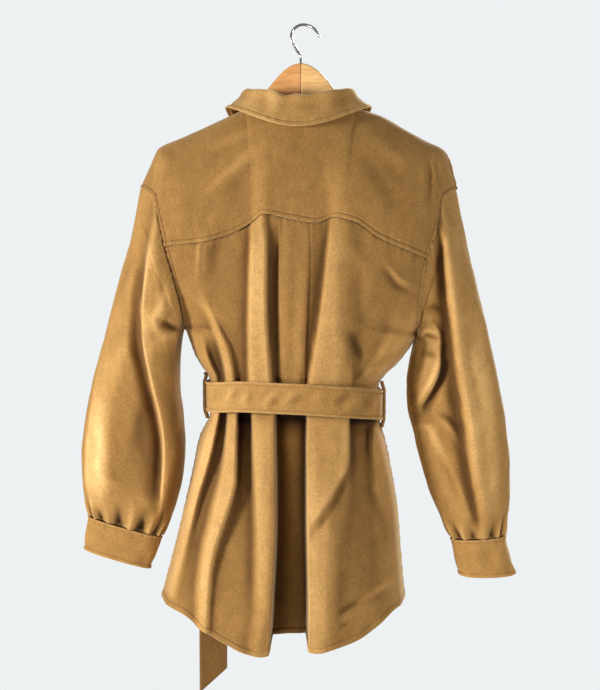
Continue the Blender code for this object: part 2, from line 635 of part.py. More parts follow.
def front_points(side, lift):
    """A front, from the shoulder line and the neck to the hem, out to its own edge past the middle."""
    sign = -1 if side == "left" else 1
    hem_z = FRONT_HEM_ROWS[0][1] * MM if side == "left" else FRONT_HEM_ROWS[-1][1] * MM
    spread = NECK_SPREAD
    neck_x = CENTRE_X + sign * (NECK_HALF_WIDTH + spread)
    shoulder = armhole(side, 0.0, 1)
    turn = np.linspace(0, 1, FRONT_RIDGE_POINTS)
    ridge_x = shoulder[0] + (neck_x - shoulder[0]) * (0.3 * turn + 0.7 * turn ** 2)
    ridge = np.stack([ridge_x, np.full(FRONT_RIDGE_POINTS, SEAM_GAP / 2), ridge_z(ridge_x)], axis=-1)
    top = np.concatenate([ridge, neck_ring(sign * front_neck_angles()[1:], spread)])
    top[0] = shoulder
    fixed = top[-3:, 0]
    share = (top[:-2, 0] - top[0, 0]) / (fixed[0] - top[0, 0])
    on_ridge = np.zeros(len(top))
    on_ridge[1:FRONT_RIDGE_POINTS] = 1
    hem_x = outline(hem_z)[0 if side == "left" else 1]
    bottom_x = np.concatenate([hem_x + share * (fixed[0] - hem_x), fixed[1:]])
    bottom = lookup(FRONT_HEM_ROWS, FRONT_HEM_COLUMNS, "z", bottom_x)
    underarm = (armhole(side, 1.0, 1)[2] - shoulder[2]) / (hem_z - shoulder[2])
    near_side = (1 - np.linspace(0, 1, len(top)))[:, None]
    steps = [(along, 0.0) for along in FRONT_PARTS] + [(1.0, down) for down in SIDE_PARTS]
    rows = []
    for along, down in steps:
        end = end_of_row(side, along, down, hem_z, 1)
        part = underarm * along ** 1.25 if down == 0 else underarm + (1 - underarm) * down
        x = np.concatenate([end[0] + share * (fixed[0] - end[0]), fixed[1:]])
        z = top[:, 2] + part * (bottom - top[:, 2])
        z = z + (end[2] - z[0]) * near_side[:, 0] ** 6
        full = torso_depth("front", x, z)
        rise = arc((top[:, 2] - z) / (top[:, 2] - CHEST_Z), 1.7)
        y = top[:, 1] + (full - top[:, 1]) * rise
        if down == 0:
            y = y + (end[1] - y[0]) * near_side[:, 0] ** 8
        y = np.maximum(y, SEAM_GAP / 2)
        y = y + lift * soft_step((LAP_REACH - np.abs(x - CENTRE_X)) / LAP_EASE)
        rows.append(np.stack([x, y, z], axis=-1))
    rows = np.array(shoulder_rows(rows, on_ridge, 1))
    rows = with_edge(rows, len(FRONT_PARTS) + 1, 1)
    return rows if side == "right" else rows[:, ::-1]


# ---- collar -------------------------------------------------------------------------------------


def outward(angle):
    """The level direction that points away from the neck at an angle of the neck's ring."""
    step = 0.01
    along = neck_ring(np.array(angle + step)) - neck_ring(np.array(angle - step))
    away = np.array([along[1], -along[0], 0.0])
    return away / np.linalg.norm(away)


def collar_pieces(suede):
    """The stand round the neck and the collar that turns down over it."""
    front = np.append(front_neck_angles()[:NECK_FRONT_STEPS + 1], math.radians(NECK_END_ANGLE))
    back = np.linspace(-math.pi / 2, math.pi / 2, NECK_BACK_STEPS + 1)
    angles = np.concatenate([-front[::-1], back[1:-1], front])
    stand = []
    fall = []
    for angle in angles:
        base = neck_ring(np.array(angle))
        away = outward(angle)
        up = np.array([0.0, 0.0, 1.0])
        front = soft_step((abs(angle) - math.radians(COLLAR_FRONT_ANGLE)) / math.radians(COLLAR_FRONT_EASE))
        side = abs(math.sin(angle)) ** 2
        shares = (1, side, front)
        half = away * DOUBLE / 2
        top = base + up * (STAND_HEIGHT + STAND_FRONT_RISE * front) - away * STAND_CLOSE
        top[0] += STAND_LEAN * (1 - front)
        low = base + up * STAND_FOOT
        stand.append([low + half, low - half, top - half, top + half])
        edge = top + half
        drop, reach, stand_off = (np.dot(size, shares) for size in (COLLAR_DROP, COLLAR_REACH, COLLAR_STAND_OFF))
        profile = [edge + away * out * MM + up * rise * MM for out, rise in COLLAR_ROLL_ROWS]
        for down in COLLAR_LEVELS:
            profile.append(edge + away * (stand_off + reach * down ** COLLAR_CURVE) - up * drop * down)
        fall.append(profile)
    fall = np.array(fall).transpose(1, 0, 2)
    band("collar_stand", np.array(stand), suede)
    cloth("collar", fall, DOUBLE, suede)


# ---- sleeves and cuffs --------------------------------------------------------------------------

SLEEVE_AROUND = 40
SLEEVE_RINGS = 13
CUFF_AROUND = 36


def ring(left_end, right_end, back, front, around, corner=2.2):
    """A level-ended oval between two points, anticlockwise from above, starting at the left end."""
    turn = np.linspace(0, 2 * math.pi, around, endpoint=False)
    middle = (left_end + right_end) / 2
    half = (right_end - left_end) / 2
    along = -np.sign(np.cos(turn)) * np.abs(np.cos(turn)) ** (2 / corner)
    depth = np.abs(np.sin(turn)) ** (2 / corner)
    y = np.where(np.sin(turn) > 0, -back * depth, front * depth)
    points = middle + np.outer(along, half)
    points[:, 1] += y
    return points, turn


def armhole_ring(side, around):
    """The armhole seam as a ring that starts at its left end, moved off the torso by a gap."""
    turn = np.linspace(0, 2 * math.pi, around, endpoint=False)
    points = []
    for angle in turn:
        face = -1 if angle <= math.pi else 1
        part = angle / math.pi if angle <= math.pi else 2 - angle / math.pi
        if side == "right":
            part = 1 - part
        points.append(armhole(side, part, face))
    sign = -1 if side == "left" else 1
    away = np.array([sign * SLEEVE_AWAY[0], 0.0, SLEEVE_AWAY[1]])
    return np.array(points) + away * TURNED_GAP


def sleeve_points(side, rows, fold):
    """A sleeve, from the armhole to the gathers above the cuff."""
    along_rows = np.linspace(0, 1, len(rows))
    armhole_points = armhole_ring(side, SLEEVE_AROUND)
    rings = []
    first_ring = None
    for along in np.linspace(0, 1, SLEEVE_RINGS + 1):
        out_x, out_z, in_x, in_z, back, front = (
            float(smooth(along_rows, column(rows, SLEEVE_COLUMNS, name), along)) for name in SLEEVE_COLUMNS)
        outer = np.array([out_x, 0.0, out_z])
        inner = np.array([in_x, 0.0, in_z])
        left_end, right_end = (outer, inner) if side == "left" else (inner, outer)
        points, turn = ring(left_end, right_end, back, front, SLEEVE_AROUND)
        parts = [row[0] for row in fold]
        place = smooth(parts, [row[1] for row in fold], along)
        rise = smooth(parts, [row[2] * MM for row in fold], along)
        trough = smooth(parts, [row[3] * MM for row in fold], along)
        from_inner = np.abs(points[:, 0] - in_x) / abs(out_x - in_x)
        on_back = np.clip(np.sin(turn) * 2, 0, 1)
        on_front = np.clip(-np.sin(turn) * 2, 0, 1)
        step = 1 - soft_step((from_inner - place) / FOLD_STEP)
        dip = np.exp(-((from_inner - place - FOLD_DIP_PLACE) / FOLD_DIP_WIDTH) ** 2)
        points[:, 1] -= on_back * (rise * step + trough * dip)
        points[:, 1] += on_front * 0.6 * (rise * step + trough * dip)
        near_end = np.exp(-((along - GATHER_PLACE) / GATHER_EASE) ** 2)
        crest = np.where(np.arange(SLEEVE_AROUND) % 2 == 0, 1.0, -1.0)
        wave = crest * (0.75 + 0.25 * np.sin(3 * turn))
        middle = points.mean(axis=0)
        away = points - middle
        away[:, 2] = 0
        away /= np.linalg.norm(away, axis=1)[:, None]
        points = points + away * (wave * near_end * GATHER_HEIGHT)[:, None]
        if first_ring is None:
            first_ring = points
        stay = 1 - soft_step(along / ARMHOLE_STAY - 1)
        rings.append(points + stay * (armhole_points - first_ring))
    return np.array(rings)


def cuff_points(side, rows):
    rings = []
    along_rows = np.linspace(0, 1, len(rows))
    for along in (0.0, 1.0):
        out_x, out_z, in_x, in_z, depth = (
            float(smooth(along_rows, column(rows, CUFF_COLUMNS, name), along)) for name in CUFF_COLUMNS)
        outer = np.array([out_x, 0.0, out_z])
        inner = np.array([in_x, 0.0, in_z])
        left_end, right_end = (outer, inner) if side == "left" else (inner, outer)
        points, turn = ring(left_end, right_end, depth, depth, CUFF_AROUND, 2.3)
        rings.append(points)
    return np.array(rings)


# ---- belt ---------------------------------------------------------------------------------------


def belt_ring(offset, count=48):
    """The belt's outside as a level oval, moved out by an offset."""
    left = np.array([BELT_LEFT - offset, 0.0, 0.0])
    right = np.array([BELT_RIGHT + offset, 0.0, 0.0])
    points, turn = ring(left, right, BELT_BACK + offset, BELT_FRONT + offset, count, SECTION_CORNER)
    points[:, 2] = lookup(BELT_LINE_ROWS, BELT_LINE_COLUMNS, "z", points[:, 0])
    return points


def belt_pieces(back, suede):
    """The belt round the waist, and the loop over it at each side seam."""
    outside = belt_ring(0.0)
    half = np.array([0.0, 0.0, BELT_WIDTH / 2])
    cloth("belt", np.array([outside + half, outside - half]), DOUBLE, suede, round_columns=True)
    for side, x in (("left", BELT_LEFT), ("right", BELT_RIGHT)):
        sign = -1 if side == "left" else 1
        middle = float(lookup(BELT_LINE_ROWS, BELT_LINE_COLUMNS, "z", x))
        sections = []
        ups = column(LOOP_ROWS, LOOP_COLUMNS, "up")
        outs = column(LOOP_ROWS, LOOP_COLUMNS, side)
        for up, out in zip(ups, outs):
            z = middle + up
            seam = back[::-1, 0 if side == "left" else -1]
            body = float(np.interp(z, seam[:, 2], seam[:, 0]))
            lie = body + sign * (LAID_GAP + BELT_LOOP_WALL)
            clear = x + sign * out
            outer = max(lie * sign, clear * sign) * sign if abs(up) < ups[0] else lie
            inner = outer - sign * BELT_LOOP_WALL
            half_width = BELT_LOOP_WIDTH / 2
            sections.append([[outer, -half_width, z], [outer, half_width, z],
                             [inner, half_width, z], [inner, -half_width, z]])
        band("belt_loop_" + side, np.array(sections), suede)


def belt_end(name, rows, finish, lean):
    """A hanging end of the belt, cut on a slant; lean is -1 where its left corner is the lower one."""
    sections = []
    front_hem = FRONT_HEM_ROWS[0][1] * MM
    for step, z in enumerate(np.linspace(rows[0][0] * MM, rows[-1][0] * MM, TAIL_STEPS + 1)):
        x, off, half = (float(lookup(rows[::-1], TAIL_COLUMNS, name, z)) for name in TAIL_COLUMNS[1:])
        edges = []
        for edge in (-1, 1):
            edge_x = x + edge * half
            rest = float(smooth_depth("front", edge_x, max(z, front_hem))[0])
            cut = edge * lean * TAIL_SLANT / 2 if step == TAIL_STEPS else 0
            edges.append(np.array([edge_x, rest + off - edge * TAIL_WAVE * math.sin(z / (45 * MM)), z - cut]))
        left, right = edges
        out = np.array([0.0, DOUBLE, 0.0])
        sections.append([left, right, right + out, left + out])
    band(name, np.array(sections), finish)


def belt_knot(suede):
    """The flat knot over the belt's front, a soft block that the ends hang from."""
    mesh = bmesh.new()
    bmesh.ops.create_cube(mesh, size=1)
    for vert in mesh.verts:
        pinch = KNOT_PINCH if vert.co.z < 0 else 1.0
        vert.co = Vector((vert.co.x * KNOT_SIZE[0] * pinch, vert.co.y * KNOT_SIZE[1], vert.co.z * KNOT_SIZE[2]))
    data = bpy.data.meshes.new("belt_knot")
    mesh.to_mesh(data)
    mesh.free()
    data.shade_smooth()
    made = add_object("belt_knot", data, suede)
    outside = belt_ring(0.0)
    belt_y = float(np.interp(KNOT_X, *[outside[outside[:, 1] > 0][:, k][::-1] for k in (0, 1)]))
    turn = math.radians(KNOT_TURN[2])
    off = KNOT_SIZE[1] / 2 + 4 * LAID_GAP
    made.location = (KNOT_X - math.sin(turn) * off, belt_y + math.cos(turn) * off, KNOT_Z)
    made.rotation_euler = [math.radians(angle) for angle in KNOT_TURN]
    rounding = made.modifiers.new("rounding", "BEVEL")
    rounding.width = KNOT_ROUNDING
    rounding.segments = 3
    return made


# ---- band, buttons ------------------------------------------------------------------------------

BUTTON_LEVELS = (-246, -322, -398, -474, -652, -732)


def front_band(front, suede):
    """The button band, laid on the right front along its edge and made from its points."""
    laid = front[2:, -3:] + normals(front)[2:, -3:] * (LAID_GAP + BAND_WALL)
    cloth("front_band", laid, BAND_WALL, suede)
    return laid


def button(name, place, normal, radius, finish):
    """A plain sewn-on disc with a low rim."""
    mesh = bmesh.new()
    bmesh.ops.create_cone(mesh, cap_ends=True, segments=20, radius1=radius, radius2=radius * 0.88,
                          depth=BUTTON_THICKNESS)
    data = bpy.data.meshes.new(name)
    mesh.to_mesh(data)
    mesh.free()
    made = add_object(name, data, finish)
    turn = Vector((0, 0, 1)).rotation_difference(Vector(normal))
    made.matrix_world = Matrix.Translation(Vector(place)) @ turn.to_matrix().to_4x4()
    return made


# ---- hanger -------------------------------------------------------------------------------------


def wood_top(out, sign):
    x = CENTRE_X + sign * out
    dome = lookup(DOME_ROWS, DOME_COLUMNS, "z", out)
    arm = ridge_z(np.array(x)) - WOOD_BELOW_RIDGE
    blend = soft_step((out - DOME_END) / DOME_EASE)
    return dome * (1 - blend) + arm * blend


def hanger_pieces(wood, chrome):
    """The wooden hanger, an outline with rounded edges, and its wire hook set into a bore."""
    outs = np.array([0, 6, 12, 18, 24, 32, 40, 47, 54, 62, 70, 80, 92, 110, 130, 150, 170, 190, 206, 216]) * MM
    top = [(CENTRE_X + out, float(wood_top(out, 1))) for out in outs]
    top_left = [(CENTRE_X - out, float(wood_top(out, -1))) for out in outs[:0:-1]]
    under = [(out * MM, z * MM) for out, z in WOOD_BOTTOM_ROWS]
    bottom = [(CENTRE_X + out, z) for out, z in under[::-1]]
    bottom_left = [(CENTRE_X - out, z) for out, z in under[1:]]
    tip = (CENTRE_X + WOOD_TIP, (top[-1][1] + bottom[0][1]) / 2)
    tip_left = (CENTRE_X - WOOD_TIP, (top_left[0][1] + bottom_left[-1][1]) / 2)
    outline_points = top_left + top + [tip] + bottom + bottom_left + [tip_left]
    curve = bpy.data.curves.new("hanger_outline", "CURVE")
    curve.dimensions = "2D"
    curve.fill_mode = "BOTH"
    curve.extrude = WOOD_THICKNESS / 2 - WOOD_ROUNDING
    curve.bevel_depth = WOOD_ROUNDING
    curve.bevel_resolution = 0
    curve.offset = -WOOD_ROUNDING
    spline = curve.splines.new("POLY")
    spline.points.add(len(outline_points) - 1)
    for point, (x, z) in zip(spline.points, outline_points):
        point.co = (x, z, 0, 1)
    spline.use_cyclic_u = True
    flat = bpy.data.objects.new("hanger_outline", curve)
    jacket.objects.link(flat)
    flat.rotation_euler = (math.radians(90), 0, 0)
    bpy.context.view_layer.update()
    mesh = bpy.data.meshes.new_from_object(flat.evaluated_get(bpy.context.evaluated_depsgraph_get()))
    mesh.transform(flat.matrix_world)
    bpy.data.objects.remove(flat)
    welded = bmesh.new()
    welded.from_mesh(mesh)
    bmesh.ops.remove_doubles(welded, verts=welded.verts, dist=0.00001)
    bmesh.ops.recalc_face_normals(welded, faces=welded.faces)
    welded.to_mesh(mesh)
    welded.free()
    mesh.name = "hanger_wood"
    body = add_object("hanger_wood", mesh, wood)

    stem_top = DOME_ROWS[0][1] * MM
    bpy.ops.mesh.primitive_cylinder_add(vertices=20, radius=WIRE_RADIUS + 0.35 * MM, depth=60 * MM)
    bore = bpy.context.object
    bore.name = "stem_bore"
    bore.location = (CENTRE_X, 0, stem_top - STEM_LENGTH_IN_WOOD - 1 * MM + 30 * MM)
    for collection in list(bore.users_collection):
        collection.objects.unlink(bore)
    cutters.objects.link(bore)
    bore.hide_render = True
    bore.display_type = "WIRE"
    cut = body.modifiers.new("stem bore", "BOOLEAN")
    cut.object = bore
    cut.operation = "DIFFERENCE"

    path = []
    right_centre = WIRE_RADIUS - HOOK_RIGHT_RADIUS
    for degrees in np.linspace(HOOK_END_ANGLE, 90, 8)[:-1]:
        turn = math.radians(degrees)
        path.append((HOOK_RIGHT_RADIUS * math.cos(turn), right_centre + HOOK_RIGHT_RADIUS * math.sin(turn)))
    left_centre = WIRE_RADIUS - HOOK_LEFT_RADIUS
    for degrees in np.linspace(90, HOOK_BACK_ANGLE, 12):
        turn = math.radians(degrees)
        path.append((HOOK_LEFT_RADIUS * math.cos(turn), left_centre + HOOK_LEFT_RADIUS * math.sin(turn)))
    path += [(-9.5 * MM, -37 * MM), (-5.5 * MM, -42.5 * MM), (CENTRE_X, -48 * MM),
             (CENTRE_X, stem_top - STEM_LENGTH_IN_WOOD)]
    wire = bpy.data.curves.new("hanger_hook", "CURVE")
    wire.dimensions = "3D"
    wire.bevel_depth = WIRE_RADIUS
    wire.bevel_resolution = 2
    wire.use_fill_caps = True
    spline = wire.splines.new("POLY")
    spline.points.add(len(path) - 1)
    for point, (x, z) in zip(spline.points, path):
        point.co = (x, 0, z, 1)
    add_object("hanger_hook", wire, chrome)


# ---- the whole ----------------------------------------------------------------------------------


def main():
    global jacket, cutters
    for thing in list(bpy.data.objects):
        bpy.data.objects.remove(thing)
    jacket = bpy.data.collections.new("suede_jacket")
    cutters = bpy.data.collections.new("cutters")
    bpy.context.scene.collection.children.link(jacket)
    bpy.context.scene.collection.children.link(cutters)

    suede = material("suede", (0.40, 0.22, 0.075), 0.9)
    horn = material("horn", (0.10, 0.05, 0.02), 0.35)
    wood = material("beech", (0.72, 0.42, 0.17), 0.45)
    chrome = material("chrome", (0.8, 0.8, 0.82), 0.12, 1.0)

    back = back_points()
    cloth("back_panel", back, CLOTH, suede)
    cloth("yoke", yoke_points(back[0]), CLOTH, suede)
    left_front = front_points("left", 0.0)
    right_front = front_points("right", LAP_LIFT)
    cloth("front_left", left_front, CLOTH, suede)
    cloth("front_right", right_front, CLOTH, suede)
    collar_pieces(suede)
    cloth("sleeve_left", sleeve_points("left", LEFT_SLEEVE_ROWS, LEFT_SLEEVE_FOLD), CLOTH, suede, True)
    cloth("sleeve_right", sleeve_points("right", RIGHT_SLEEVE_ROWS, RIGHT_SLEEVE_FOLD), CLOTH, suede, True)
    cloth("cuff_left", cuff_points("left", LEFT_CUFF_ROWS), DOUBLE, suede, True)
    cloth("cuff_right", cuff_points("right", RIGHT_CUFF_ROWS), DOUBLE, suede, True)
    belt_pieces(back, suede)
    belt_knot(suede)
    belt_end("belt_tail_long", LONG_TAIL_ROWS, suede, -1)
    belt_end("belt_tail_short", SHORT_TAIL_ROWS, suede, 1)

    strip = front_band(right_front, suede)
    across = normals(strip)
    for number, level in enumerate(BUTTON_LEVELS, 1):
        heights = strip[::-1, 1, 2]
        place = np.array([np.interp(level * MM, heights, strip[::-1, 1, k]) for k in range(3)])
        normal = np.array([np.interp(level * MM, heights, across[::-1, 1, k]) for k in range(3)])
        place = place + normal * (LAID_GAP + BUTTON_THICKNESS / 2)
        button(f"button_{number}", place, normal, BUTTON_RADIUS, horn)
    for side, rows in (("left", LEFT_CUFF_ROWS), ("right", RIGHT_CUFF_ROWS)):
        out_x, out_z, in_x, in_z, depth = rows[1]
        place = np.array([out_x * 0.6 + in_x * 0.4, depth, out_z * 0.6 + in_z * 0.4]) * MM
        place[1] += LAID_GAP + BUTTON_THICKNESS / 2
        button("cuff_button_" + side, place, (0, 1, 0), CUFF_BUTTON_RADIUS, horn)

    hanger_pieces(wood, chrome)


main()
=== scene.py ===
# A belted suede shirt jacket on a wooden hanger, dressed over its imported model.
# Sizes are in millimetres in the model's own frame: +Z up, the back of the jacket towards -Y.
import math

import bmesh
import bpy
import numpy as np
from mathutils import Matrix, Vector


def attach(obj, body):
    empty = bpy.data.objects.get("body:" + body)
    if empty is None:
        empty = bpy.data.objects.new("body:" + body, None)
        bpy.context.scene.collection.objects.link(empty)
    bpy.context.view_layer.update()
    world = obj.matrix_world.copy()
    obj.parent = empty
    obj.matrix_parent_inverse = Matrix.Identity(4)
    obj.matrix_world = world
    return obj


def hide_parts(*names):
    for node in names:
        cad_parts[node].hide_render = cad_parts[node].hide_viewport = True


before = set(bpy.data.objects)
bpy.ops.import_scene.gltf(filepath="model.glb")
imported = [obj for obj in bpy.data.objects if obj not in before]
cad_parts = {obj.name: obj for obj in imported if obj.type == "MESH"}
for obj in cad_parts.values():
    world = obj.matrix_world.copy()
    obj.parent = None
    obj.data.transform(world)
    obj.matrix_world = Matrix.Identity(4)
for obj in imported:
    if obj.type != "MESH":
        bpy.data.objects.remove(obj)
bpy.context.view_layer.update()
print("frame: the packed jacket is loaded,", len(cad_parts), "nodes")

mm = 0.001

cloth = {
    "wall": 1.6,              # one layer of suede
    "doubleWall": 2.6,        # two layers sewn together
    "seamGap": 0.4,
    "turnedGap": 0.7,         # between a panel and the sleeve that leaves it at an angle
    "stitchGroove": 1.15,     # how deep a row of topstitch pulls in
    "stitchGrooveWidth": 1.1,
    "sideStitch": 6,          # rows of topstitch: in from a panel's side
    "hemStitch": 9,
    "hemRoll": 1.1,           # how far a turned edge stands up between its stitches and its end
    "edgeRoll": 0.9,
    # Rows of points at these distances from an edge, close together where it is stitched.
    "edgeMarks": (0, 0.5, 1.2, 2.2, 3.2, 3.9, 4.5, 5.1, 5.8, 6.5, 7.2, 8.0, 9.0, 10.5),
    "overlap": 1.1,           # how far the upper cloth stands above the lower one at a seam
}


# A monotone cubic through rising knots, held level outside them.
def smoothCurve(knots, values, at):
    knots = np.asarray(knots, float)
    values = np.asarray(values, float)
    if knots[0] > knots[-1]:
        knots = knots[::-1]
        values = values[::-1]
    step = np.diff(knots)
    slope = np.diff(values) / step
    tangent = np.zeros(len(knots))
    tangent[0] = slope[0]
    tangent[-1] = slope[-1]
    same = slope[:-1] * slope[1:] > 0
    both = np.where(same, slope[:-1] + slope[1:], 1)
    tangent[1:-1] = np.where(same, 2 * slope[:-1] * slope[1:] / both, 0)
    at = np.clip(np.asarray(at, float), knots[0], knots[-1])
    k = np.clip(np.searchsorted(knots, at, side="right") - 1, 0, len(knots) - 2)
    t = (at - knots[k]) / step[k]
    start = (1 + 2 * t) * (1 - t) ** 2 * values[k] + t * (1 - t) ** 2 * step[k] * tangent[k]
    end = t * t * (3 - 2 * t) * values[k + 1] + t * t * (t - 1) * step[k] * tangent[k + 1]
    return start + end


def column(table, name):
    return np.array([row[table["columns"].index(name)] for row in table["rows"]], float)


def readTable(table, name, at):  # a table's column against its first one
    return smoothCurve(column(table, table["columns"][0]), column(table, name), at)


def softStep(x):  # 0 below -1, 1 above 1
    t = np.clip(np.asarray(x, float) * 0.5 + 0.5, 0, 1)
    return t * t * (3 - 2 * t)


def arcRise(t, power):  # steep at 0, level at 1
    t = np.clip(t, 0, 1)
    return (1 - (1 - t) ** power) ** (1 / power)


def bump(x, width):
    return np.exp(-((x / width) ** 2))


# Soft lumps about as long as size, the same on each run.
def ripple(a, b, size, seed, waves=7):
    chance = np.random.default_rng(seed)
    height = np.zeros(np.broadcast(a, b).shape)
    for _ in range(waves):
        turn = chance.uniform(0, 2 * math.pi)
        length = size * chance.uniform(0.7, 1.6)
        phase = chance.uniform(0, 2 * math.pi)
        height += np.sin((a * math.cos(turn) + b * math.sin(turn)) * 2 * math.pi / length + phase)
    return height / math.sqrt(waves)


def unit(vectors):
    length = np.linalg.norm(vectors, axis=-1)[..., None]
    return vectors / np.maximum(length, 1e-9)


# Outward normals of a grid whose rows run down and columns anticlockwise from above.
def gridNormals(points, closed=False):
    if closed:
        wide = np.concatenate([points[:, -2:], points, points[:, :2]], axis=1)
        return gridNormals(wide)[:, 2:-2]
    return unit(np.cross(np.gradient(points, axis=0), np.gradient(points, axis=1)))


def distanceAlong(points, axis, fromEnd=False):
    pts = np.flip(points, axis) if fromEnd else points
    step = np.linalg.norm(np.diff(pts, axis=axis), axis=2)
    pad = [(0, 0), (0, 0)]
    pad[axis] = (1, 0)
    total = np.cumsum(np.pad(step, pad), axis=axis)
    return np.flip(total, axis) if fromEnd else total


edges = ((0, False), (0, True), (1, False), (1, True))  # a grid's top, foot, left and right


def edgeDistances(points):
    return [distanceAlong(points, axis, fromEnd) for axis, fromEnd in edges]


# Height above the smooth cloth: each fold is a ridge or a trough with its own two flanks.
foldColumns = ("z", "x", "height", "left", "right")


def foldHeights(folds, x, z):
    height = np.zeros(np.broadcast(x, z).shape)
    for rows in folds.values():
        table = {"columns": foldColumns, "rows": rows}
        away = x - readTable(table, "x", z)
        flank = np.where(away < 0, readTable(table, "left", z), readTable(table, "right", z))
        ends = column(table, "z")
        inside = softStep((z - ends.min()) / 14 + 1) * softStep((ends.max() - z) / 14 + 1)
        height += readTable(table, "height", z) * bump(away, flank) * inside
    return height


# Bands rise or sink between two edges, and their last column is painted light on them: above 0 a painted
# highlight, below 0 painted shade.
bandColumns = ("z", "left", "right", "rise", "softLeft", "softRight", "tone")


def bandHeights(bands, x, z):
    height = np.zeros(np.broadcast(x, z).shape)
    tone = np.zeros(height.shape)
    for rows in bands.values():
        table = {"columns": bandColumns, "rows": rows}
        columns = (readTable(table, name, z) for name in bandColumns[1:])
        left, right, rise, softLeft, softRight, shade = columns
        inside = softStep((x - left) / softLeft) * softStep((right - x) / softRight)
        ends = column(table, "z")
        inside = inside * softStep((z - ends.min()) / 10 + 1) * softStep((ends.max() - z) / 10 + 1)
        height += rise * inside
        tone += shade * inside
    return height, tone


# Short creases: each is (path, height, width on its left or upper side, width on the other side).
def creaseHeights(creases, x, z):
    height = np.zeros(np.broadcast(x, z).shape)
    for path, rise, widthOne, widthTwo in creases:
        path = np.array(path, float)
        best = np.full(height.shape, 1e9)
        side = np.zeros(height.shape)
        along = np.zeros(height.shape)
        lengths = np.linalg.norm(np.diff(path, axis=0), axis=1)
        total = lengths.sum()
        done = 0.0
        for (x0, z0), (x1, z1), length in zip(path, path[1:], lengths):
            dx, dz = (x1 - x0) / length, (z1 - z0) / length
            t = np.clip((x - x0) * dx + (z - z0) * dz, 0, length)
            offX, offZ = x - x0 - t * dx, z - z0 - t * dz
            gap = np.hypot(offX, offZ)
            closer = gap < best
            best = np.where(closer, gap, best)
            side = np.where(closer, (dx * offZ - dz * offX) / np.maximum(gap, 0.01), side)
            along = np.where(closer, (done + t) / total, along)
            done += length
        width = widthTwo + (widthOne - widthTwo) * (0.5 + 0.5 * side)
        taper = np.sin(np.clip(along, 0.03, 0.97) * math.pi) ** 0.7
        height += rise * taper * bump(best, width)
    return height


# Adds rows of points beside one edge of a grid, at the same distances all along it.
def refineEdge(points, axis, fromEnd=False, marks=None):
    marks = np.array(cloth["edgeMarks"] if marks is None else marks, float)
    pts = points if axis == 0 else points.transpose(1, 0, 2)
    pts = pts[::-1] if fromEnd else pts
    reach = distanceAlong(pts, 0)
    keep = int(np.argmax(reach.min(axis=1) > marks[-1] + 1.2))
    near = np.zeros((len(marks), pts.shape[1], 3))
    for j in range(pts.shape[1]):
        for k in range(3):
            near[:, j, k] = np.interp(marks, reach[:, j], pts[:, j, k])
    made = np.concatenate([near, pts[keep:]])
    made = made[::-1] if fromEnd else made
    return made if axis == 0 else made.transpose(1, 0, 2)


# Which parts of a shell stand out as crests (up to 1) or lie in hollow places (down to -1); the material
# paints shade into the hollow places and highlight onto the crests from it.
def reliefOf(points, closed=False, rounds=26, full=2.6):
    even = points.copy()
    for _ in range(rounds):
        if closed:
            even = even * 0.5 + (np.roll(even, 1, axis=1) + np.roll(even, -1, axis=1)) * 0.25
        else:
            even[:, 1:-1] = even[:, 1:-1] * 0.5 + (even[:, 2:] + even[:, :-2]) * 0.25
        even[1:-1] = even[1:-1] * 0.5 + (even[2:] + even[:-2]) * 0.25
    stand = ((points - even) * gridNormals(points, closed)).sum(axis=2)
    return np.clip(stand / full, -1, 1)


# A turned and topstitched edge: thicker from its end to the stitches, with a rounded lip.
def turnedEdge(distance, at, lift=cloth["edgeRoll"]):
    inside = softStep((at - distance) / 1.5)
    lip = -0.9 * lift * np.clip(1 - distance / 1.2, 0, 1) ** 2
    groove = -cloth["stitchGroove"] * bump(distance - at, cloth["stitchGrooveWidth"])
    return lift * inside + lip + groove


def dressObject(made, slotName, *nodes):
    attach(made, "root")
    if nodes:
        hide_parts(*nodes)


def newObject(name, data):
    made = bpy.data.objects.new(name, data)
    bpy.context.scene.collection.objects.link(made)
    return made


def meshObject(name, verts, faces, finish, values):
    mesh = bpy.data.meshes.new(name)
    mesh.from_pydata((np.asarray(verts, float) * mm).tolist(), [], faces)
    for key, value in values.items():
        attribute = mesh.attributes.new(key, "FLOAT", "POINT")
        attribute.data.foreach_set("value", np.asarray(value, np.float32).ravel())
    mesh.materials.append(finish)
    mesh.shade_smooth()
    return newObject(name, mesh)


def gridFaces(rows, columns, closed=False):
    i, j = np.meshgrid(np.arange(rows - 1), np.arange(columns if closed else columns - 1), indexing="ij")
    beside = (j + 1) % columns
    quads = [i * columns + j, (i + 1) * columns + j, (i + 1) * columns + beside, i * columns + beside]
    return np.stack(quads, axis=-1).reshape(-1, 4).tolist()


def turnOutwards(mesh, weld=False):
    solid = bmesh.new()
    solid.from_mesh(mesh)
    if weld:
        bmesh.ops.remove_doubles(solid, verts=solid.verts, dist=0.00001)
    bmesh.ops.recalc_face_normals(solid, faces=solid.faces)
    solid.to_mesh(mesh)
    solid.free()
    mesh.shade_smooth()


# A solid through rings of points, closed at both ends.
def ringsObject(name, rings, finish, values):
    rows, count = rings.shape[:2]
    faces = gridFaces(rows, count, True)
    faces.append(list(range(count - 1, -1, -1)))
    faces.append([(rows - 1) * count + k for k in range(count)])
    made = meshObject(name, rings.reshape(-1, 3), faces, finish, values)
    turnOutwards(made.data)
    return made
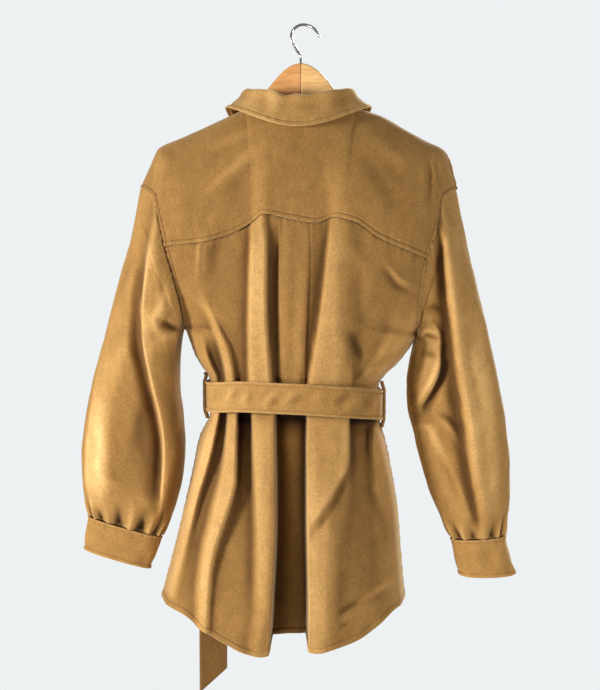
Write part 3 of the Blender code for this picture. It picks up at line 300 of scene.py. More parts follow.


# One cloth shell, raised off a grid of points; wear is 1 along rubbed edges. Its relief paints shade into
# hollow places and highlight onto crests, and it carries the painted light and shade it is given.
def dressPanel(node, points, height, wear, finish, wall=cloth["wall"], closed=False, tone=0.0):
    shown = points + gridNormals(points, closed) * height[..., None]
    rows, columns = shown.shape[:2]
    values = {"wear": np.clip(wear, 0, 1), "relief": reliefOf(shown, closed),
              "tone": np.clip(np.zeros((rows, columns)) + tone, -1, 1)}
    faces = gridFaces(rows, columns, closed)
    made = meshObject(node + "_suede", shown.reshape(-1, 3), faces, finish, values)
    layer = made.modifiers.new("cloth wall", "SOLIDIFY")
    layer.thickness = wall * mm
    layer.offset = -1
    layer.use_even_offset = False
    dressObject(made, "suede", node)
    print(node + ":", rows, "by", columns, "points")
    return shown


threads = []  # rows of stitches: points on the cloth, and normals that stand off it


def lineAcross(points, distance, at, axis):  # the line at a distance from one edge of a grid
    if axis == 1:
        points, distance = points.transpose(1, 0, 2), distance.T
    line = []
    for j in range(points.shape[1]):
        reach = distance[:, j]
        order = np.argsort(reach)
        line.append([np.interp(at, reach[order], points[order, j, k]) for k in range(points.shape[2])])
    return np.array(line)


def sewAlong(points, axis, fromEnd, at, closed=False, skip=0):
    both = np.concatenate([points, gridNormals(points, closed)], axis=2)
    line = lineAcross(both, distanceAlong(points, axis, fromEnd), at, axis)
    if closed:
        line = np.concatenate([line, line[:1]])
    if skip:
        line = line[skip:-skip]
    if len(line) > 1:
        threads.append((line[:, :3], unit(line[:, 3:])))


def sewBoth(points, axis, at, closed=False):
    for fromEnd in (False, True):
        sewAlong(points, axis, fromEnd, at, closed)


torso = {
    "corner": 2.4,            # 2 is an ellipse, more is squarer
    "middle": -3.5,           # the hanger's stem and the middle of the neck
    "chestZ": -300,
    "middleHemZ": -938,
    "underarmZ": -466,        # the sleeves leave the panels above it
    "shoulderPart": 0.45,     # of the armhole, where the yoke's seam meets it
    "step": 3.0,              # between the shell's points
    "frontStep": 3.6,
    "armholeLength": 130,     # from the yoke's seam to the underarm, and from there to the hem
    "sideLength": 420,
    "beltTopZ": -560,         # the belt draws the cloth in below it
    "pinchZ": -583,
    "pinchReach": 16,
    "section": {
        "columns": ("z", "left", "right", "back", "front"),
        "rows": (
            (-960, -240, 166, 110, 112), (-881, -222, 160, 108, 109), (-800, -201, 153, 103, 104),
            (-748, -188, 149, 99, 100), (-682, -173, 138, 92, 94), (-632, -162, 126, 86, 88),
            (-612, -152, 119.5, 80, 83), (-600, -146, 117.5, 77, 80), (-565, -145, 117, 76, 79),
            (-548, -145.5, 119, 77, 80), (-536, -148, 128, 80, 82), (-522, -158, 143, 84, 84),
            (-505, -168, 158, 87, 86), (-476, -179, 177, 88, 85), (-466, -183, 183, 88, 84),
            (-437, -204, 199, 87, 82), (-400, -229, 215, 84, 78), (-340, -252, 233, 78, 73),
            (-300, -264, 246, 72, 69), (-245, -276, 262, 56, 61), (-150, -285, 270, 40, 50)),
    },
    "ridge": {                # the shoulder line, out from the neck over the hanger's tips
        "columns": ("out", "left", "right"),
        "rows": (
            (70, -121, -121), (90, -127, -127), (120, -140, -137), (160, -158, -159), (190, -171, -175),
            (215, -181, -187), (224, -187, -198), (232, -203, -219), (241, -225, -249),
            (251, -245, -280)),
    },
    "armhole": {              # from the shoulder line down to the underarm
        "columns": ("part", "leftX", "leftZ", "rightX", "rightZ", "depth"),
        "rows": (
            (0.00, -251, -245, 237, -249, 0), (0.07, -240, -251, 225, -254, 16),
            (0.15, -227, -263, 212, -264, 29), (0.27, -220, -290, 203, -297, 42),
            (0.45, -209, -338, 188, -356, 50), (0.65, -195, -388, 181, -402, 53),
            (0.82, -186, -425, 176, -438, 46), (0.94, -183, -453, 175, -463, 25),
            (1.00, -184, -464, 177, -474, 0)),
    },
    "yokeSeam": {
        "columns": ("x", "z"),
        "rows": (
            (-215, -336), (-154, -332), (-110, -321), (-80, -306), (-58, -291), (-20, -298), (18, -304),
            (46, -296), (75, -302), (112, -326), (150, -342), (195, -360)),
    },
    "backHem": {
        "columns": ("x", "z"),
        "rows": (
            (-225, -884), (-186, -890), (-156, -907), (-112, -931), (-80, -944), (-58, -945), (-44, -940),
            (6, -938), (20, -940), (52, -935), (86, -924), (116, -905), (142, -889), (160, -885)),
    },
    "frontHem": {
        "columns": ("x", "z"),
        "rows": ((-225, -884), (-180, -888), (-120, -908), (-30, -920), (60, -908), (120, -888), (160, -884)),
    },
}

pleat = {
    "columns": ("z", "left", "right", "setIn"),
    "rows": (
        (-960, -51, 6, 86), (-880, -46, 6, 80), (-740, -40, 4, 58), (-640, -41, 4, 36),
        (-600, -42, 5, 27), (-575, -42, 5, 12), (-545, -41, 5, 4), (-440, -38, 8, 1.5),
        (-310, -34, 11, 1.5), (-290, -34, 11, 0)),
}

# The folds of the yoke and the back, from the neck to the hem, with painted highlight on their ridges and
# painted shade in their valleys, darkest just under the belt.
backBands = {
    "left band": (
        (-164, -72.6, -54.6, 0.5, 6, 6, 0.05), (-232, -75.2, -55.8, 2, 6, 6, 0.18),
        (-289, -77, -56.9, 5, 5, 5, 0.3), (-344, -78.9, -53.8, 10, 4, 3, 0.5),
        (-418, -81, -53.7, 12, 4, 3, 0.55), (-477, -81.8, -51.5, 13, 4, 3, 0.5),
        (-534, -81.5, -48.1, 12, 4, 3, 0.45), (-555, -81, -46.7, 7, 5, 4, 0.3)),
    "left band valley": (
        (-303, -50.9, -36.1, 0, 4, 2, -0.04), (-330, -52.3, -36.1, -2, 4, 2, -0.16),
        (-362, -53, -36.8, -4.5, 3, 2, -0.3), (-418, -53.7, -37.5, -5, 3, 2, -0.34),
        (-477, -50.8, -36.8, -5, 3, 2, -0.3), (-534, -46.6, -35.5, -5, 3, 2, -0.3),
        (-555, -45.2, -34.8, -3, 3, 3, -0.3)),
    "pleat panel": (
        (-294, -34.7, 8.3, 0.5, 1, 1, 0), (-344, -35.3, 8.3, 1.6, 1, 1, 0),
        (-418, -36.7, 5.3, 2.4, 1, 1, 0), (-534, -36.2, 3.2, 2.4, 1, 1, 0.02)),
    "pleat light": (
        (-322, -33.1, -21.3, 0.2, 4, 6, 0.12), (-418, -34.5, -19.8, 0.8, 4, 6, 0.14),
        (-534, -33.2, -21.3, 0.8, 4, 6, 0.08)),
    "pleat middle": (
        (-344, -12.4, 3.9, 0, 6, 4, 0.05), (-418, -12.4, 1.6, 1.2, 6, 3, 0.1),
        (-477, -15.3, -2, 1.6, 6, 3, 0.12), (-534, -16.9, -3.5, 1.6, 6, 3, 0.12)),
    "right of the pleat": (
        (-307, 9.8, 37.9, -0.5, 2, 3, -0.15), (-344, 9.8, 34.9, -1.2, 2, 3, -0.2),
        (-418, 6.1, 26.7, -2, 2, 3, -0.24), (-477, 3.9, 17.2, -2.5, 2, 3, -0.24),
        (-534, 3.2, 8.4, -3, 2, 2, -0.3)),
    "right band": (
        (-164, 28, 58.1, 0.5, 6, 10, 0.05), (-232, 32.4, 59.3, 2, 6, 12, 0.16),
        (-297, 39.5, 66.1, 5, 5, 16, 0.22), (-344, 34.9, 67.4, 9, 3.5, 20, 0.4),
        (-418, 26.7, 65.8, 12, 3, 22, 0.42), (-492, 15.7, 65.9, 13, 3, 22, 0.42),
        (-534, 8.4, 67.8, 12, 3, 20, 0.35), (-555, 6.9, 69.5, 7, 4, 18, 0.2)),
    "left slanting ridge": (
        (-400, -158.4, -148.1, 0, 4, 3, 0), (-433, -148.1, -136.3, 3, 5, 3, 0.16),
        (-462, -134.9, -123.1, 6, 5, 3, 0.25), (-492, -124.7, -109.9, 9, 5, 3, 0.32),
        (-534, -117.2, -103.1, 9, 4, 3, 0.35), (-555, -116.8, -101.9, 4, 4, 4, 0.2)),
    "left hollow": (
        (-474, -146.8, -132, 0, 4, 4, 0), (-495, -143.9, -124.7, -5, 4, 3, -0.35),
        (-516, -136.8, -120.5, -7, 4, 3, -0.5), (-534, -129.8, -118.7, -7, 4, 3, -0.45),
        (-552, -128.6, -118.2, -3, 4, 3, -0.3)),
    "left side ridge": (
        (-462, -171.8, -154.1, 0, 4, 6, 0), (-484, -166, -146.8, 3, 4, 6, 0.1),
        (-507, -157.3, -139.6, 5, 4, 5, 0.12), (-534, -146.2, -129.8, 5, 4, 4, 0.12)),
    "left side tone": (
        (-484, -102.5, -83.3, 0, 8, 6, -0.08), (-534, -101.6, -83.8, -2, 6, 5, -0.2),
        (-555, -100.4, -84, -2, 6, 5, -0.2)),
    "right hollow": (
        (-455, 54, 86.5, 0, 12, 12, -0.02), (-484, 61.5, 83.6, -3, 8, 10, -0.3),
        (-510, 64.5, 83.8, -4, 7, 10, -0.22), (-537, 72.3, 93.1, -3, 5, 10, -0.18)),
    "right side ridge": (
        (-418, 139.6, 172, 0, 14, 8, 0.02), (-455, 133.7, 169.1, 3, 12, 6, 0.18),
        (-484, 120.6, 151.6, 5, 10, 5, 0.24), (-514, 101.6, 131.2, 6, 9, 5, 0.24),
        (-540, 78.3, 109.5, 5, 7, 5, 0.2)),
    "fold A": (
        (-582, -136.3, -125.9, 6, 3, 2, 0.4), (-604, -143.8, -128.8, 13, 4, 2, 0.5),
        (-641, -155.1, -135.7, 16, 5, 2.2, 0.6), (-677, -165.2, -145.2, 17, 6, 2.6, 0.62),
        (-714, -176.9, -156.2, 17, 7, 4, 0.6), (-787, -195.9, -173.7, 14, 8, 7, 0.55),
        (-861, -215.1, -194.3, 9, 8, 8, 0.5)),
    "valley A": (
        (-582, -125.9, -115.4, -8, 2, 2, -0.9), (-604, -127.3, -115.4, -9, 2, 3, -0.35),
        (-641, -134.3, -117.9, -7, 3, 5, -0.14), (-677, -143, -125.2, -4, 4, 6, -0.12),
        (-729, -159, -142.8, -2, 5, 7, -0.08), (-787, -173.7, -153, -1, 6, 8, -0.08),
        (-861, -188.4, -164.8, 0, 8, 8, -0.08)),
    "fold B": (
        (-582, -113.9, -99.8, 7, 3, 1.6, 0.25), (-604, -115.4, -99, 13, 3, 1.6, 0.35),
        (-641, -117.9, -99.3, 16, 4, 1.6, 0.4), (-685, -125.1, -99.9, 17, 6, 2, 0.42),
        (-714, -132.4, -105.8, 17, 7, 3, 0.5), (-751, -141.2, -117.5, 16, 8, 4, 0.55),
        (-787, -150, -129.3, 14, 9, 4, 0.6), (-824, -155.9, -136.7, 12, 9, 4, 0.6),
        (-861, -158.8, -139.6, 10, 9, 4, 0.55), (-905, -157.4, -141.1, 8, 9, 5, 0.4)),
    "valley B": (
        (-582, -98.3, -78.9, -12, 1.6, 2, -1), (-599, -98.3, -78.2, -17, 1.6, 2, -1),
        (-609, -98.2, -77.3, -17, 2, 3, -0.5), (-641, -97.9, -76.3, -12, 2, 5, -0.36),
        (-685, -97.7, -74.7, -8, 3, 7, -0.22), (-729, -107.2, -73.1, -5, 6, 9, -0.12),
        (-787, -123.4, -73.1, -2, 8, 10, -0.07), (-876, -135.2, -79, 0, 8, 10, -0.04)),
    "left lobe": (
        (-582, -78.1, -34.8, 7, 3, 3, 0.15), (-604, -77.4, -34.8, 12, 3, 3, 0.18),
        (-641, -76.3, -34.7, 13, 4, 3, 0.2), (-714, -73.2, -33.2, 13, 5, 3, 0.22),
        (-787, -71.6, -33.1, 11, 7, 3, 0.2), (-861, -71.6, -34.6, 8, 9, 3, 0.14),
        (-935, -79, -43.5, 6, 10, 3, 0.1)),
    "left lobe light": (
        (-590, -73.7, -52.8, 0.8, 5, 8, 0.12), (-641, -71.9, -54, 1.6, 5, 8, 0.2),
        (-714, -68.7, -52.4, 2, 5, 7, 0.3), (-787, -67.1, -52.3, 2, 6, 7, 0.26),
        (-861, -70.1, -52.3, 1.4, 8, 8, 0.15)),
    "left lobe edge": (
        (-604, -48.3, -36.3, 0, 4, 2, -0.15), (-714, -48, -34.6, 0, 5, 2, -0.35),
        (-861, -52.3, -36.1, 0, 6, 2, -0.4), (-928, -64.2, -46.4, 0, 6, 2, -0.3)),
    "right lobe": (
        (-582, -3.5, 68.9, 8, 3, 1.4, 0.3), (-604, -5, 68.9, 13, 3, 1.4, 0.32),
        (-641, -5, 68.7, 13, 3, 1.6, 0.34), (-655, -5, 68.1, 12.5, 3, 1.8, 0.34),
        (-667, -5, 65.4, 12, 3, 2, 0.34), (-679, -5, 60.3, 11, 3, 2, 0.34),
        (-693, -5, 51.3, 10, 3, 2, 0.34), (-710, -6.5, 40.4, 9, 3, 2, 0.34),
        (-732, -6.5, 26.1, 7, 3, 2, 0.28), (-746, -6.5, 17.2, 5, 3, 2.5, 0.2),
        (-758, -6.5, 11.3, 3, 3, 3, 0.1)),
    "right lobe light": (
        (-670, 3.9, 39.5, 0, 3, 12, 0.05), (-714, 2.4, 45.4, 5, 3, 14, 0.25),
        (-787, -5, 45.3, 8, 3, 14, 0.42), (-861, -0.6, 43.8, 8, 3, 14, 0.42),
        (-935, 0.9, 42.3, 7, 3, 14, 0.35)),
    "right valley": (
        (-582, 69.6, 115.9, -10, 1.4, 3, -1), (-602, 69.6, 114.4, -15, 1.4, 3, -1),
        (-613, 69.5, 105.3, -15, 2, 4, -0.3), (-641, 69.3, 102, -12, 3, 5, -0.24),
        (-685, 69.2, 104.8, -8, 6, 8, -0.2), (-758, 61.6, 113.4, -5, 12, 12, -0.2),
        (-861, 54.2, 120.7, -2, 14, 14, -0.16)),
    "right side ridge low": (
        (-585, 104, 117.4, 3, 5, 5, -0.05), (-604, 103.9, 120.3, 5, 6, 6, 0.1),
        (-641, 100.5, 125.7, 5, 9, 8, 0.1), (-685, 104.8, 131.5, 4, 12, 10, 0.08),
        (-758, 116.4, 143, 2, 14, 12, 0.03)),
}

# Painted light and shade inside the pleat's recess: darkest just under the belt as its painted shadow, and
# darker beside its edges.
recessBands = {
    "all of it": (
        (-600, -44, 12, 0, 3, 3, 0.1), (-700, -44, 12, 0, 3, 3, 0.2), (-900, -50, 14, 0, 3, 3, 0.06)),
    "under the belt": (
        (-576, -44, 9, 0, 3, 3, -1), (-598, -44, 9, 0, 3, 3, -0.9), (-607, -44, 9, 0, 3, 3, -0.3),
        (-618, -44, 9, 0, 3, 3, 0)),
    "beside its right edge": (
        (-606, -3, 9, 0, 3, 3, -0.35), (-680, -3, 9, 0, 3, 3, -0.45), (-800, -2, 10, 0, 3, 3, -0.4),
        (-900, 0, 12, 0, 3, 3, -0.3)),
    "beside its left edge": (
        (-606, -44, -31, 0, 3, 5, -0.1), (-740, -44, -31, 0, 3, 5, -0.16),
        (-880, -50, -32, 0, 3, 5, -0.15)),
    "its middle": (
        (-610, -27, -8, 0, 6, 6, 0.1), (-700, -26, -8, 0, 6, 6, 0.08), (-780, -26, -8, 0, 6, 6, 0)),
}

# Short creases of the yoke and the back, in the plane of the back: path, height, upper and lower width.
backCreases = (
    (((-72, -174), (-84, -202), (-106, -222), (-138, -248), (-153, -260)), 4.5, 9, 13),
    (((-91, -210), (-101, -250), (-110, -290)), -2, 12, 10),
    (((-67, -176), (-100, -205), (-135, -238), (-156, -259)), -1.7, 2.5, 3.5),
    (((-122, -284), (-142, -318), (-150, -340), (-153, -395)), -2.2, 2.5, 3.5),
    (((-127, -282), (-146, -317), (-154, -338), (-158, -393)), 4, 8, 4.5),
    (((-116, -300), (-133, -350), (-140, -400)), -3, 10, 10),
    (((-70, -160), (-110, -178), (-150, -190)), 2.5, 9, 9),
    (((-190, -205), (-209, -191), (-222, -188)), -3, 9, 9),
    (((-226, -192), (-225, -232), (-226, -270)), 3.5, 5, 6),
    (((198, -196), (200, -237), (195, -285)), -4.5, 6, 7),
    (((190, -192), (206, -212), (210, -248)), 3.5, 6, 5),
    (((96, -168), (130, -196), (168, -222)), 2.8, 10, 12),
    (((80, -190), (110, -235), (140, -290)), -2.4, 14, 14),
    (((119, -366), (140, -397), (166, -409)), -3.6, 4.5, 7),
    (((118, -360), (142, -388), (168, -399)), 3.2, 6, 6),
    (((66, -463), (76, -488), (88, -508)), -4, 7, 6), (((69, -498), (72, -545)), 2.6, 2.8, 3.5),
    (((-176, -463), (-148, -466)), -2.4, 3.5, 4.5),
    (((-178, -405), (-140, -432), (-110, -455)), 2.2, 8, 9),
    (((60, -330), (92, -372), (104, -420)), 2, 11, 12), (((50, -884), (84, -868)), -4, 6, 5),
    (((88, -868), (118, -853), (148, -838)), 3.4, 5, 4), (((53, -906), (70, -896)), -2, 3, 3),
    (((-30, -470), (-12, -505), (-8, -530)), -1.5, 5, 5),
    (((96, -520), (126, -505), (150, -492)), -2.6, 5, 7),
    (((100, -700), (122, -745), (132, -800)), -3, 9, 9),
    (((66, -658), (59, -684), (48, -702), (41, -712), (26, -735), (13, -757)), 1.6, 2.4, 2),
    (((72, -664), (66, -690), (50, -716), (32, -742), (18, -764)), -2.2, 3.5, 6))

frontFolds = {
    "left chest": (
        (-190, -118, 0, 20, 24), (-300, -110, 3, 18, 22), (-440, -98, 7, 14, 22), (-540, -88, 10, 10, 16),
        (-600, -86, 12, 12, 16), (-740, -92, 9, 20, 22), (-950, -95, 7, 24, 24)),
    "left trough": (
        (-340, -70, 0, 14, 14), (-440, -64, -5, 10, 10), (-540, -58, -9, 8, 8), (-600, -58, -13, 9, 9),
        (-740, -60, -8, 13, 13), (-950, -62, -5, 16, 16)),
    "left side": (
        (-400, -140, 0, 12, 12), (-480, -132, 4, 12, 9), (-560, -118, 6, 10, 8), (-640, -124, 10, 12, 9),
        (-760, -146, 8, 16, 12), (-950, -162, 5, 18, 14)),
    "left side valley": (
        (-560, -104, -3, 6, 6), (-600, -104, -10, 6, 7), (-700, -112, -8, 8, 9),
        (-900, -130, -3, 12, 12)),
    "right chest": (
        (-190, 98, 0, 22, 20), (-300, 90, 3, 22, 18), (-440, 78, 7, 20, 14), (-540, 66, 10, 16, 10),
        (-600, 62, 12, 16, 12), (-740, 70, 9, 22, 20), (-950, 78, 7, 24, 24)),
    "right trough": (
        (-340, 50, 0, 14, 14), (-440, 42, -5, 10, 10), (-540, 36, -9, 8, 8), (-600, 36, -13, 9, 9),
        (-740, 38, -8, 13, 13), (-950, 44, -5, 16, 16)),
    "right side": (
        (-400, 132, 0, 12, 12), (-480, 122, 4, 9, 12), (-560, 96, 6, 8, 10), (-640, 98, 10, 9, 12),
        (-760, 114, 8, 12, 16), (-950, 124, 5, 14, 18)),
}
frontCreases = (
    (((-200, -215), (-150, -260), (-110, -330)), 3.6, 11, 13),
    (((190, -220), (140, -270), (104, -340)), 3.6, 13, 11),
    (((-190, -430), (-140, -450), (-108, -480)), -3.2, 7, 9),
    (((176, -440), (128, -462), (96, -492)), -3.2, 9, 7),
    (((-70, -330), (-60, -420), (-52, -500)), 2.6, 8, 9),
    (((60, -350), (50, -430), (40, -505)), 2.6, 9, 8),
    (((-150, -500), (-110, -520), (-80, -528)), 2.4, 5, 5),
    (((130, -505), (96, -522), (70, -530)), 2.4, 5, 5),
    (((-110, -700), (-84, -760), (-80, -820)), -3.2, 9, 9),
    (((96, -690), (70, -740), (62, -800)), -3.2, 9, 9))


def outline(z):
    return readTable(torso["section"], "left", z), readTable(torso["section"], "right", z)


def smoothDepth(side, x, z):  # off Y = 0 without folds, and the share of the full depth
    left, right = outline(z)
    across = np.clip((x - (left + right) / 2) / ((right - left) / 2), -1, 1)
    roundness = (1 - np.abs(across) ** torso["corner"]) ** (1 / torso["corner"])
    return readTable(torso["section"], side, z) * roundness, roundness


def pleatEdges(z):
    return readTable(pleat, "left", z), readTable(pleat, "right", z)


def ridgeZ(x):
    left = readTable(torso["ridge"], "left", np.abs(x))
    right = readTable(torso["ridge"], "right", np.abs(x))
    return np.where(x < 0, left, right)


def armholePoint(side, part, face):  # face is -1 at the back and 1 in front
    x = readTable(torso["armhole"], side + "X", part)
    z = readTable(torso["armhole"], side + "Z", part)
    depth = np.maximum(readTable(torso["armhole"], "depth", part), 0.8)
    return np.stack([x, face * depth, z], axis=-1)


def evenParts(first, last, length, step=None):
    return np.linspace(first, last, int(round(length / (step or torso["step"]))) + 1)


def sideSeamEnd(side, down, hemZ):
    start = armholePoint(side, 1.0, -1)
    z = start[2] + (hemZ - start[2]) * down
    return np.array([outline(z)[0 if side == "left" else 1], 0.0, z])


# Places across the back at one height, closest together at the pleat's edges.
def backColumns(leftEnd, rightEnd, z):
    pleatLeft, pleatRight = pleatEdges(z)
    near = np.array([-6, -4, -2.6, -1.5, -0.6, 0.4, 1.4, 2.6, 4, 6])
    turn = np.linspace(0, 1, 56)[:-1]
    left = leftEnd + (pleatLeft - 8 - leftEnd) * turn
    right = rightEnd + (pleatRight + 8 - rightEnd) * turn
    middle = np.linspace(pleatLeft + 7, pleatRight - 7, 11)
    return np.concatenate([left, pleatLeft + near, middle, pleatRight - near[::-1], right[::-1]])


def aboveBelt(z):
    return softStep((z - torso["beltTopZ"]) / 12)


def beltPinch(z, deep):
    return -deep * bump(z - torso["pinchZ"], torso["pinchReach"]) * softStep((torso["beltTopZ"] - z) / 6)


def insidePleat(x, z, ease):  # 1 within the pleat's edges
    pleatLeft, pleatRight = pleatEdges(z)
    return softStep((x - pleatLeft) / ease) * softStep((pleatRight - x) / ease)


def backPaintedShading(x, z):  # painted light and shade on the yoke and the back, with the creases' own painted light
    inside = insidePleat(x, z, 1.2) * (1 - aboveBelt(z))
    bands = bandHeights(backBands, x, z)[1]
    bands = np.where(bands < 0, bands * (0.62 + 0.38 * bump(z + 595, 30)), bands)
    tone = bands * (1 - inside) + bandHeights(recessBands, x, z)[1] * inside
    return tone + 0.035 * creaseHeights(backCreases, x, z)


def backDepth(x, z):  # the back's full shape off Y = 0
    depth, roundness = smoothDepth("back", x, z)
    fade = np.clip(roundness * 1.5, 0, 1)
    inside = insidePleat(x, z, 2.2)
    setIn = readTable(pleat, "setIn", z)
    folds = bandHeights(backBands, x, z)[0]
    folds = folds * (1 - inside * (1 - aboveBelt(z)))  # above it they run on over the pleat
    creases = creaseHeights(backCreases, x, z) * (1 - inside * 0.8)
    pinch = beltPinch(z, 9) * (1 - inside)
    lumps = 0.35 * ripple(x, z * 0.6, 60, 3) + 0.2 * ripple(x, z, 24, 4)
    return depth + fade * (folds + creases + pinch + lumps) - inside * setIn


def edgeWear(*distances, most=1.0):
    wear = 0
    for distance in distances:
        wear = np.maximum(wear, np.clip(1 - distance / 2.6, 0, 1))
    return wear * most


def besideSleeve(z):  # 1 where a panel's side meets the sleeve, 0 at the side seam below it
    return softStep((z - torso["underarmZ"]) / 4)


def puckers(along, distance, seed, reach=16, height=0.45, length=11):
    return height * ripple(along, np.zeros_like(along), length, seed, 5) * bump(distance, reach)


def backGrid():
    hemLeft = torso["backHem"]["rows"][0][1]
    hemRight = torso["backHem"]["rows"][-1][1]
    topZ = float(readTable(torso["yokeSeam"], "z", torso["middle"]))
    startLeft = armholePoint("left", torso["shoulderPart"], -1)
    startRight = armholePoint("right", torso["shoulderPart"], -1)
    seamX = backColumns(startLeft[0], startRight[0], topZ)
    hemX = backColumns(outline(hemLeft)[0], outline(hemRight)[1], torso["middleHemZ"])
    top = readTable(torso["yokeSeam"], "z", seamX) - cloth["seamGap"] / 2
    bottom = readTable(torso["backHem"], "z", hemX)
    share = np.linspace(0, 1, len(seamX))
    underarm = (armholePoint("left", 1.0, -1)[2] - startLeft[2]) / (hemLeft - startLeft[2])
    steps = [(along, 0.0) for along in evenParts(torso["shoulderPart"], 1, torso["armholeLength"])]
    steps += [(1.0, down) for down in evenParts(0, 1, torso["sideLength"])[1:]]
    rows = []
    for along, down in steps:
        if down > 0:
            left = sideSeamEnd("left", down, hemLeft)
            right = sideSeamEnd("right", down, hemRight)
            part = underarm + (1 - underarm) * down
        else:
            left = armholePoint("left", along, -1)
            right = armholePoint("right", along, -1)
            part = underarm * (along - torso["shoulderPart"]) / (1 - torso["shoulderPart"])
        x = backColumns(left[0], right[0], topZ + part * (torso["middleHemZ"] - topZ))
        z = top + part * (bottom - top)
        z = z + (left[2] - z[0]) * (1 - share) ** 9 + (right[2] - z[-1]) * share ** 9
        y = -backDepth(x, z)
        if down == 0:
            y = y + (left[1] - y[0]) * (1 - share) ** 12 + (right[1] - y[-1]) * share ** 12
        rows.append(np.stack([x, np.minimum(y, -cloth["seamGap"] / 2), z], axis=-1))
    rows = np.array(rows)
    rows[0, :, 2] = np.minimum(rows[0, :, 2], readTable(torso["yokeSeam"], "z", rows[0, :, 0]) - 0.2)
    return rows


back = {
    # painted shade laid over the whole back panel
    "tone": -0.22,
    "hemWear": 0.4,
    "hemPuckers": (18, 0.7, 26),  # how far they reach, how high and how long they are
    "pleatWear": 0.08,        # along the pleat's edges, from this height down
    "pleatWearZ": -590,
}


def makeBack(suede):
    points = backGrid()
    for axis, fromEnd in edges:
        points = refineEdge(points, axis, fromEnd)
    fromTop, fromHem, fromLeft, fromRight = edgeDistances(points)
    x, z = points[..., 0], points[..., 2]
    sides = turnedEdge(fromLeft, cloth["sideStitch"]) + turnedEdge(fromRight, cloth["sideStitch"])
    height = turnedEdge(fromHem, cloth["hemStitch"], cloth["hemRoll"]) + besideSleeve(z) * sides
    height = height - cloth["overlap"] * bump(fromTop, 3) + puckers(x, fromTop, 11)
    height += puckers(x, fromHem, 12, *back["hemPuckers"])
    height = height + puckers(z, fromLeft, 13) + puckers(z, fromRight, 14)
    pleatLeft, pleatRight = pleatEdges(z)
    rim = bump(x - pleatLeft + 2, 2.4) + bump(x - pleatRight - 2, 2.4)
    rim = rim * softStep((back["pleatWearZ"] - z) / 10)
    wear = edgeWear(fromHem, most=back["hemWear"]) + back["pleatWear"] * rim
    shown = dressPanel("back_panel", points, height, wear, suede, tone=backPaintedShading(x, z) + back["tone"])
    sewAlong(shown, 0, True, cloth["hemStitch"])
    part = shown[shown[:, 0, 2] > torso["underarmZ"]]
    sewBoth(part, 1, cloth["sideStitch"])
    return points


neck = {
    "halfWidth": 80,
    "backDepth": 46,
    "frontDepth": 58,
    "sideZ": -123,
    "backZ": -134,
    "frontZ": -204,
    "spread": 3.4,            # from the middle of the stand's wall to the panels' edge
}


def neckRing(angle, spread=0.0):  # 0 is the middle of the back, a quarter turn the right shoulder
    back = np.cos(angle)
    depth = np.where(back > 0, neck["backDepth"], neck["frontDepth"])
    x = torso["middle"] + (neck["halfWidth"] + spread) * np.sin(angle)
    y = -(depth + spread) * back
    drop = np.where(back > 0, neck["backZ"], neck["frontZ"]) - neck["sideZ"]
    return np.stack([x, y, neck["sideZ"] + drop * np.abs(back) ** 1.6], axis=-1)


# The yoke's upper edge: both shoulder lines, and the back of the neck between them.
def yokeTop(backTop):
    share = (backTop[:, 0] - backTop[0, 0]) / (backTop[-1, 0] - backTop[0, 0])
    topLeft = armholePoint("left", 0.0, -1)
    topRight = armholePoint("right", 0.0, -1)
    neckLeft = torso["middle"] - neck["halfWidth"] - neck["spread"]
    neckRight = torso["middle"] + neck["halfWidth"] + neck["spread"]
    straight = topLeft[0] + share * (topRight[0] - topLeft[0])
    first = int(np.argmin(np.abs(straight - neckLeft)))
    last = int(np.argmin(np.abs(straight - neckRight)))
    top = np.zeros((len(backTop), 3))
    top[:first + 1, 0] = np.interp(straight[:first + 1], straight[[0, first]], [topLeft[0], neckLeft])
    top[last:, 0] = np.interp(straight[last:], straight[[last, -1]], [neckRight, topRight[0]])
    top[:, 2] = ridgeZ(top[:, 0])
    top[:, 1] = -cloth["seamGap"] / 2
    turn = np.interp(straight[first + 1:last], straight[[first, last]], [-1, 1]) * math.pi / 2
    top[first + 1:last] = neckRing(turn, neck["spread"])
    top[0] = topLeft
    top[-1] = topRight
    return top, share, first, last


